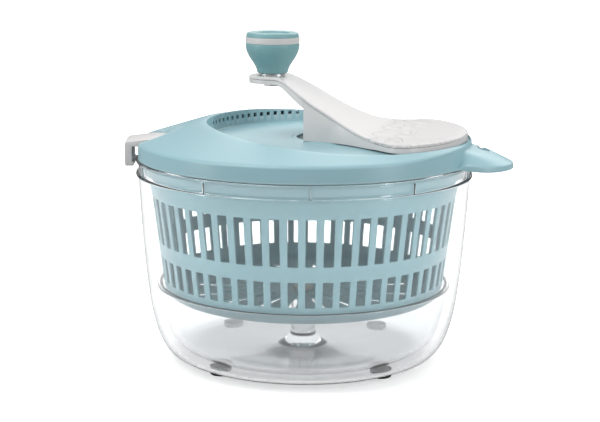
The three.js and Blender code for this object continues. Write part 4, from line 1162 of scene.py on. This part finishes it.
def arm_slab(name, top, bottom, edge, margin=0.0):
    """A slab in the arm's plan between two height functions, with a rounded upper edge."""
    side = arm_side()
    step = next(i for i, p in enumerate(side) if p.x > BLOCK_START)
    share = (BLOCK_START - side[step - 1].x) / (side[step].x - side[step - 1].x)
    edge_y = side[step - 1].y + share * (side[step].y - side[step - 1].y)
    side[step:step] = [Vector((BLOCK_START - 0.01 * MM, edge_y)), Vector((BLOCK_START, edge_y))]
    across = [-math.cos(math.pi * k / 48) for k in range(49)]
    bm = bmesh.new()
    upper, lower = [], []
    for point in side:
        width = max(point.y - margin, 0.0)
        high, low = [], []
        for w in across:
            y = w * width
            inset = width - abs(y)
            if point.x > 0:
                inset = min(inset, PADDLE_R - math.hypot(point.x, y))
            if point.x < -CRANK_R:
                inset = min(inset, ARM_END_R - math.hypot(point.x + CRANK_R, y))
            inset = min(max(inset, 0.0), edge)
            drop = edge - math.sqrt(max(edge**2 - (edge - inset) ** 2, 0.0))
            high.append(bm.verts.new((CRANK_X + point.x, y, top(point.x) - drop)))
            low.append(bm.verts.new((CRANK_X + point.x, y, bottom(point.x))))
        upper.append(high)
        lower.append(low)
    skin_rings(bm, upper, closed_rows=False, closed_ring=False)
    skin_rings(bm, lower, closed_rows=False, closed_ring=False)
    rim_top = [r[0] for r in upper] + upper[-1][1:] + [r[-1] for r in reversed(upper)][1:]
    rim_low = [r[0] for r in lower] + lower[-1][1:] + [r[-1] for r in reversed(lower)][1:]
    rim_top += list(reversed(upper[0]))[1:-1]
    rim_low += list(reversed(lower[0]))[1:-1]
    skin_rings(bm, [rim_low, rim_top], closed_rows=False)
    return finish_mesh(name, bm, 42)


class SPINNER_OT_crank(bpy.types.Operator):
    """Makes the crank arm and its embossed top cover"""

    bl_idname = "spinner.crank"
    bl_label = "Crank"

    def execute(self, context):
        skin = 2 * MM
        groove = 0.25 * MM
        cover = arm_slab("crank_top", arm_height, lambda s: arm_height(s) - skin, 1.2 * MM)
        settle(cover, "crank", "white", "crank_cover", material=embossed_white())

        under_cover = skin + groove
        body = arm_slab(
            "crank_body", lambda s: arm_height(s) - under_cover, arm_underside, 0.2 * MM, 0.3 * MM
        )
        settle(body, "crank", "white", "crank_arm")

        hub_top = DISH_Z + CRANK_GAP
        hub_r = 24 * MM
        hub = lathe("crank_hub", rounded([
            (0, ARM_LO.z, 0), (hub_r, ARM_LO.z, 0.5 * MM), (hub_r, hub_top, 0.5 * MM), (0, hub_top, 0),
        ]), 96, CRANK_X)
        settle(hub, "crank", "white")
        return {"FINISHED"}


# ---- Knob --------------------------------------------------------------------------------------
class SPINNER_OT_knob(bpy.types.Operator):
    """Makes the knob's body, band and cap"""

    bl_idname = "spinner.knob"
    bl_label = "Knob"

    def execute(self, context):
        body_lo, body_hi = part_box("knob_body")
        band_lo, band_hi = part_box("knob_band")
        cap_lo, cap_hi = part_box("knob_cap")
        radius = (body_hi.y - body_lo.y) / 2
        foot = 11.5 * MM
        bore = 4.3 * MM
        low, high = body_lo.z, body_hi.z
        rise = high - low
        face = bezier((foot, low + 0.8 * MM), (foot + 1 * MM, low + 0.36 * rise),
                      (radius - 0.1 * MM, low + 0.54 * rise), (radius, high - 1.4 * MM), 20)
        body = lathe("knob_grip", rounded(
            [(bore, low, 0), (foot - 0.7 * MM, low, 0.5 * MM)] + as_points(face)
            + [(radius, high - 1.2 * MM, 0.5 * MM), (radius - 0.3 * MM, high, 0.3 * MM)]
            + [(bore, high, 0), (bore, low, 0)]
        ), 96, KNOB_X)
        settle(body, "knob", "deep_aqua", "knob_body")

        inner = radius - 4 * MM
        band = lathe("knob_ring", rounded([
            (inner, band_lo.z, 0), (radius - 0.1 * MM, band_lo.z, 0.4 * MM), (radius, band_hi.z, 0.4 * MM),
            (inner, band_hi.z, 0), (inner, band_lo.z, 0),
        ]), 96, KNOB_X)
        settle(band, "knob", "white", "knob_band")

        top = cap_hi.z
        cap = lathe("knob_top", rounded([
            (0, cap_lo.z, 0), (inner - FIT, cap_lo.z, 0.3 * MM), (inner - FIT, band_hi.z, 0),
            (radius - 0.3 * MM, band_hi.z, 0.4 * MM), (radius - 1.0 * MM, top - 0.5 * MM, 1.2 * MM),
            (radius - 3.2 * MM, top, 1.2 * MM), (0.64 * radius, top - 0.3 * MM, 0.6 * MM),
            (0.6 * radius, top - 1.5 * MM, 0.8 * MM), (0.3 * radius, top - 1.9 * MM, 2 * MM),
            (0, top - 1.6 * MM, 0),
        ]), 96, KNOB_X)
        settle(cap, "knob", "deep_aqua", "knob_cap")
        return {"FINISHED"}


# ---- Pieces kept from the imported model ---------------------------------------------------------
class SPINNER_OT_inner_parts(bpy.types.Operator):
    """Gives the gears, bushes, shafts and fasteners their finishes"""

    bl_idname = "spinner.inner_parts"
    bl_label = "Inner parts"

    def execute(self, context):
        slots = {part["node"]: part["material_slot"] for part in frame["record"]["subparts"]}
        for name, node in frame["nodes"].items():
            # The crank bush gets the painted shade finish instead of its own nylon, to show the shade in its hole.
            finish = painted_shade_bush if name == "crank_bush" else FINISHES[slots[name]]
            node.data.materials.clear()
            node.data.materials.append(finish())
        return {"FINISHED"}


class SPINNER_PT_panel(bpy.types.Panel):
    """Lists the steps that build the spinner"""

    bl_idname = "SPINNER_PT_panel"
    bl_label = "Salad spinner"
    bl_space_type = "VIEW_3D"
    bl_region_type = "UI"
    bl_category = "Spinner"

    def draw(self, context):
        for group in (context.scene.spinner_sizes, context.scene.spinner_finish, context.scene.spinner_stage):
            for name in group.bl_rna.properties.keys():
                if name not in ("rna_type", "name"):
                    self.layout.prop(group, name)
        for step in STEPS:
            self.layout.operator(step.bl_idname)


STEPS = (
    SPINNER_OT_stage,
    SPINNER_OT_inner_parts,
    SPINNER_OT_bowl,
    SPINNER_OT_feet,
    SPINNER_OT_tray,
    SPINNER_OT_basket,
    SPINNER_OT_lid,
    SPINNER_OT_latch,
    SPINNER_OT_crank,
    SPINNER_OT_knob,
)
GROUPS = (SpinnerSizes, SpinnerFinish, SpinnerStage)


def register():
    for group in GROUPS:
        bpy.utils.register_class(group)
    for step in (*STEPS, SPINNER_PT_panel):
        bpy.utils.register_class(step)
    bpy.types.Scene.spinner_sizes = bpy.props.PointerProperty(type=SpinnerSizes)
    bpy.types.Scene.spinner_finish = bpy.props.PointerProperty(type=SpinnerFinish)
    bpy.types.Scene.spinner_stage = bpy.props.PointerProperty(type=SpinnerStage)


def unregister():
    del bpy.types.Scene.spinner_stage
    del bpy.types.Scene.spinner_finish
    del bpy.types.Scene.spinner_sizes
    for step in reversed((*STEPS, SPINNER_PT_panel)):
        bpy.utils.unregister_class(step)
    for group in reversed(GROUPS):
        bpy.utils.unregister_class(group)


def main():
    register()
    bpy.ops.spinner.stage()
    bpy.ops.spinner.inner_parts()
    bpy.ops.spinner.bowl()
    bpy.ops.spinner.feet()
    bpy.ops.spinner.tray()
    bpy.ops.spinner.basket()
    bpy.ops.spinner.lid()
    bpy.ops.spinner.latch()
    bpy.ops.spinner.crank()
    bpy.ops.spinner.knob()


if __name__ == "__main__":
    main()
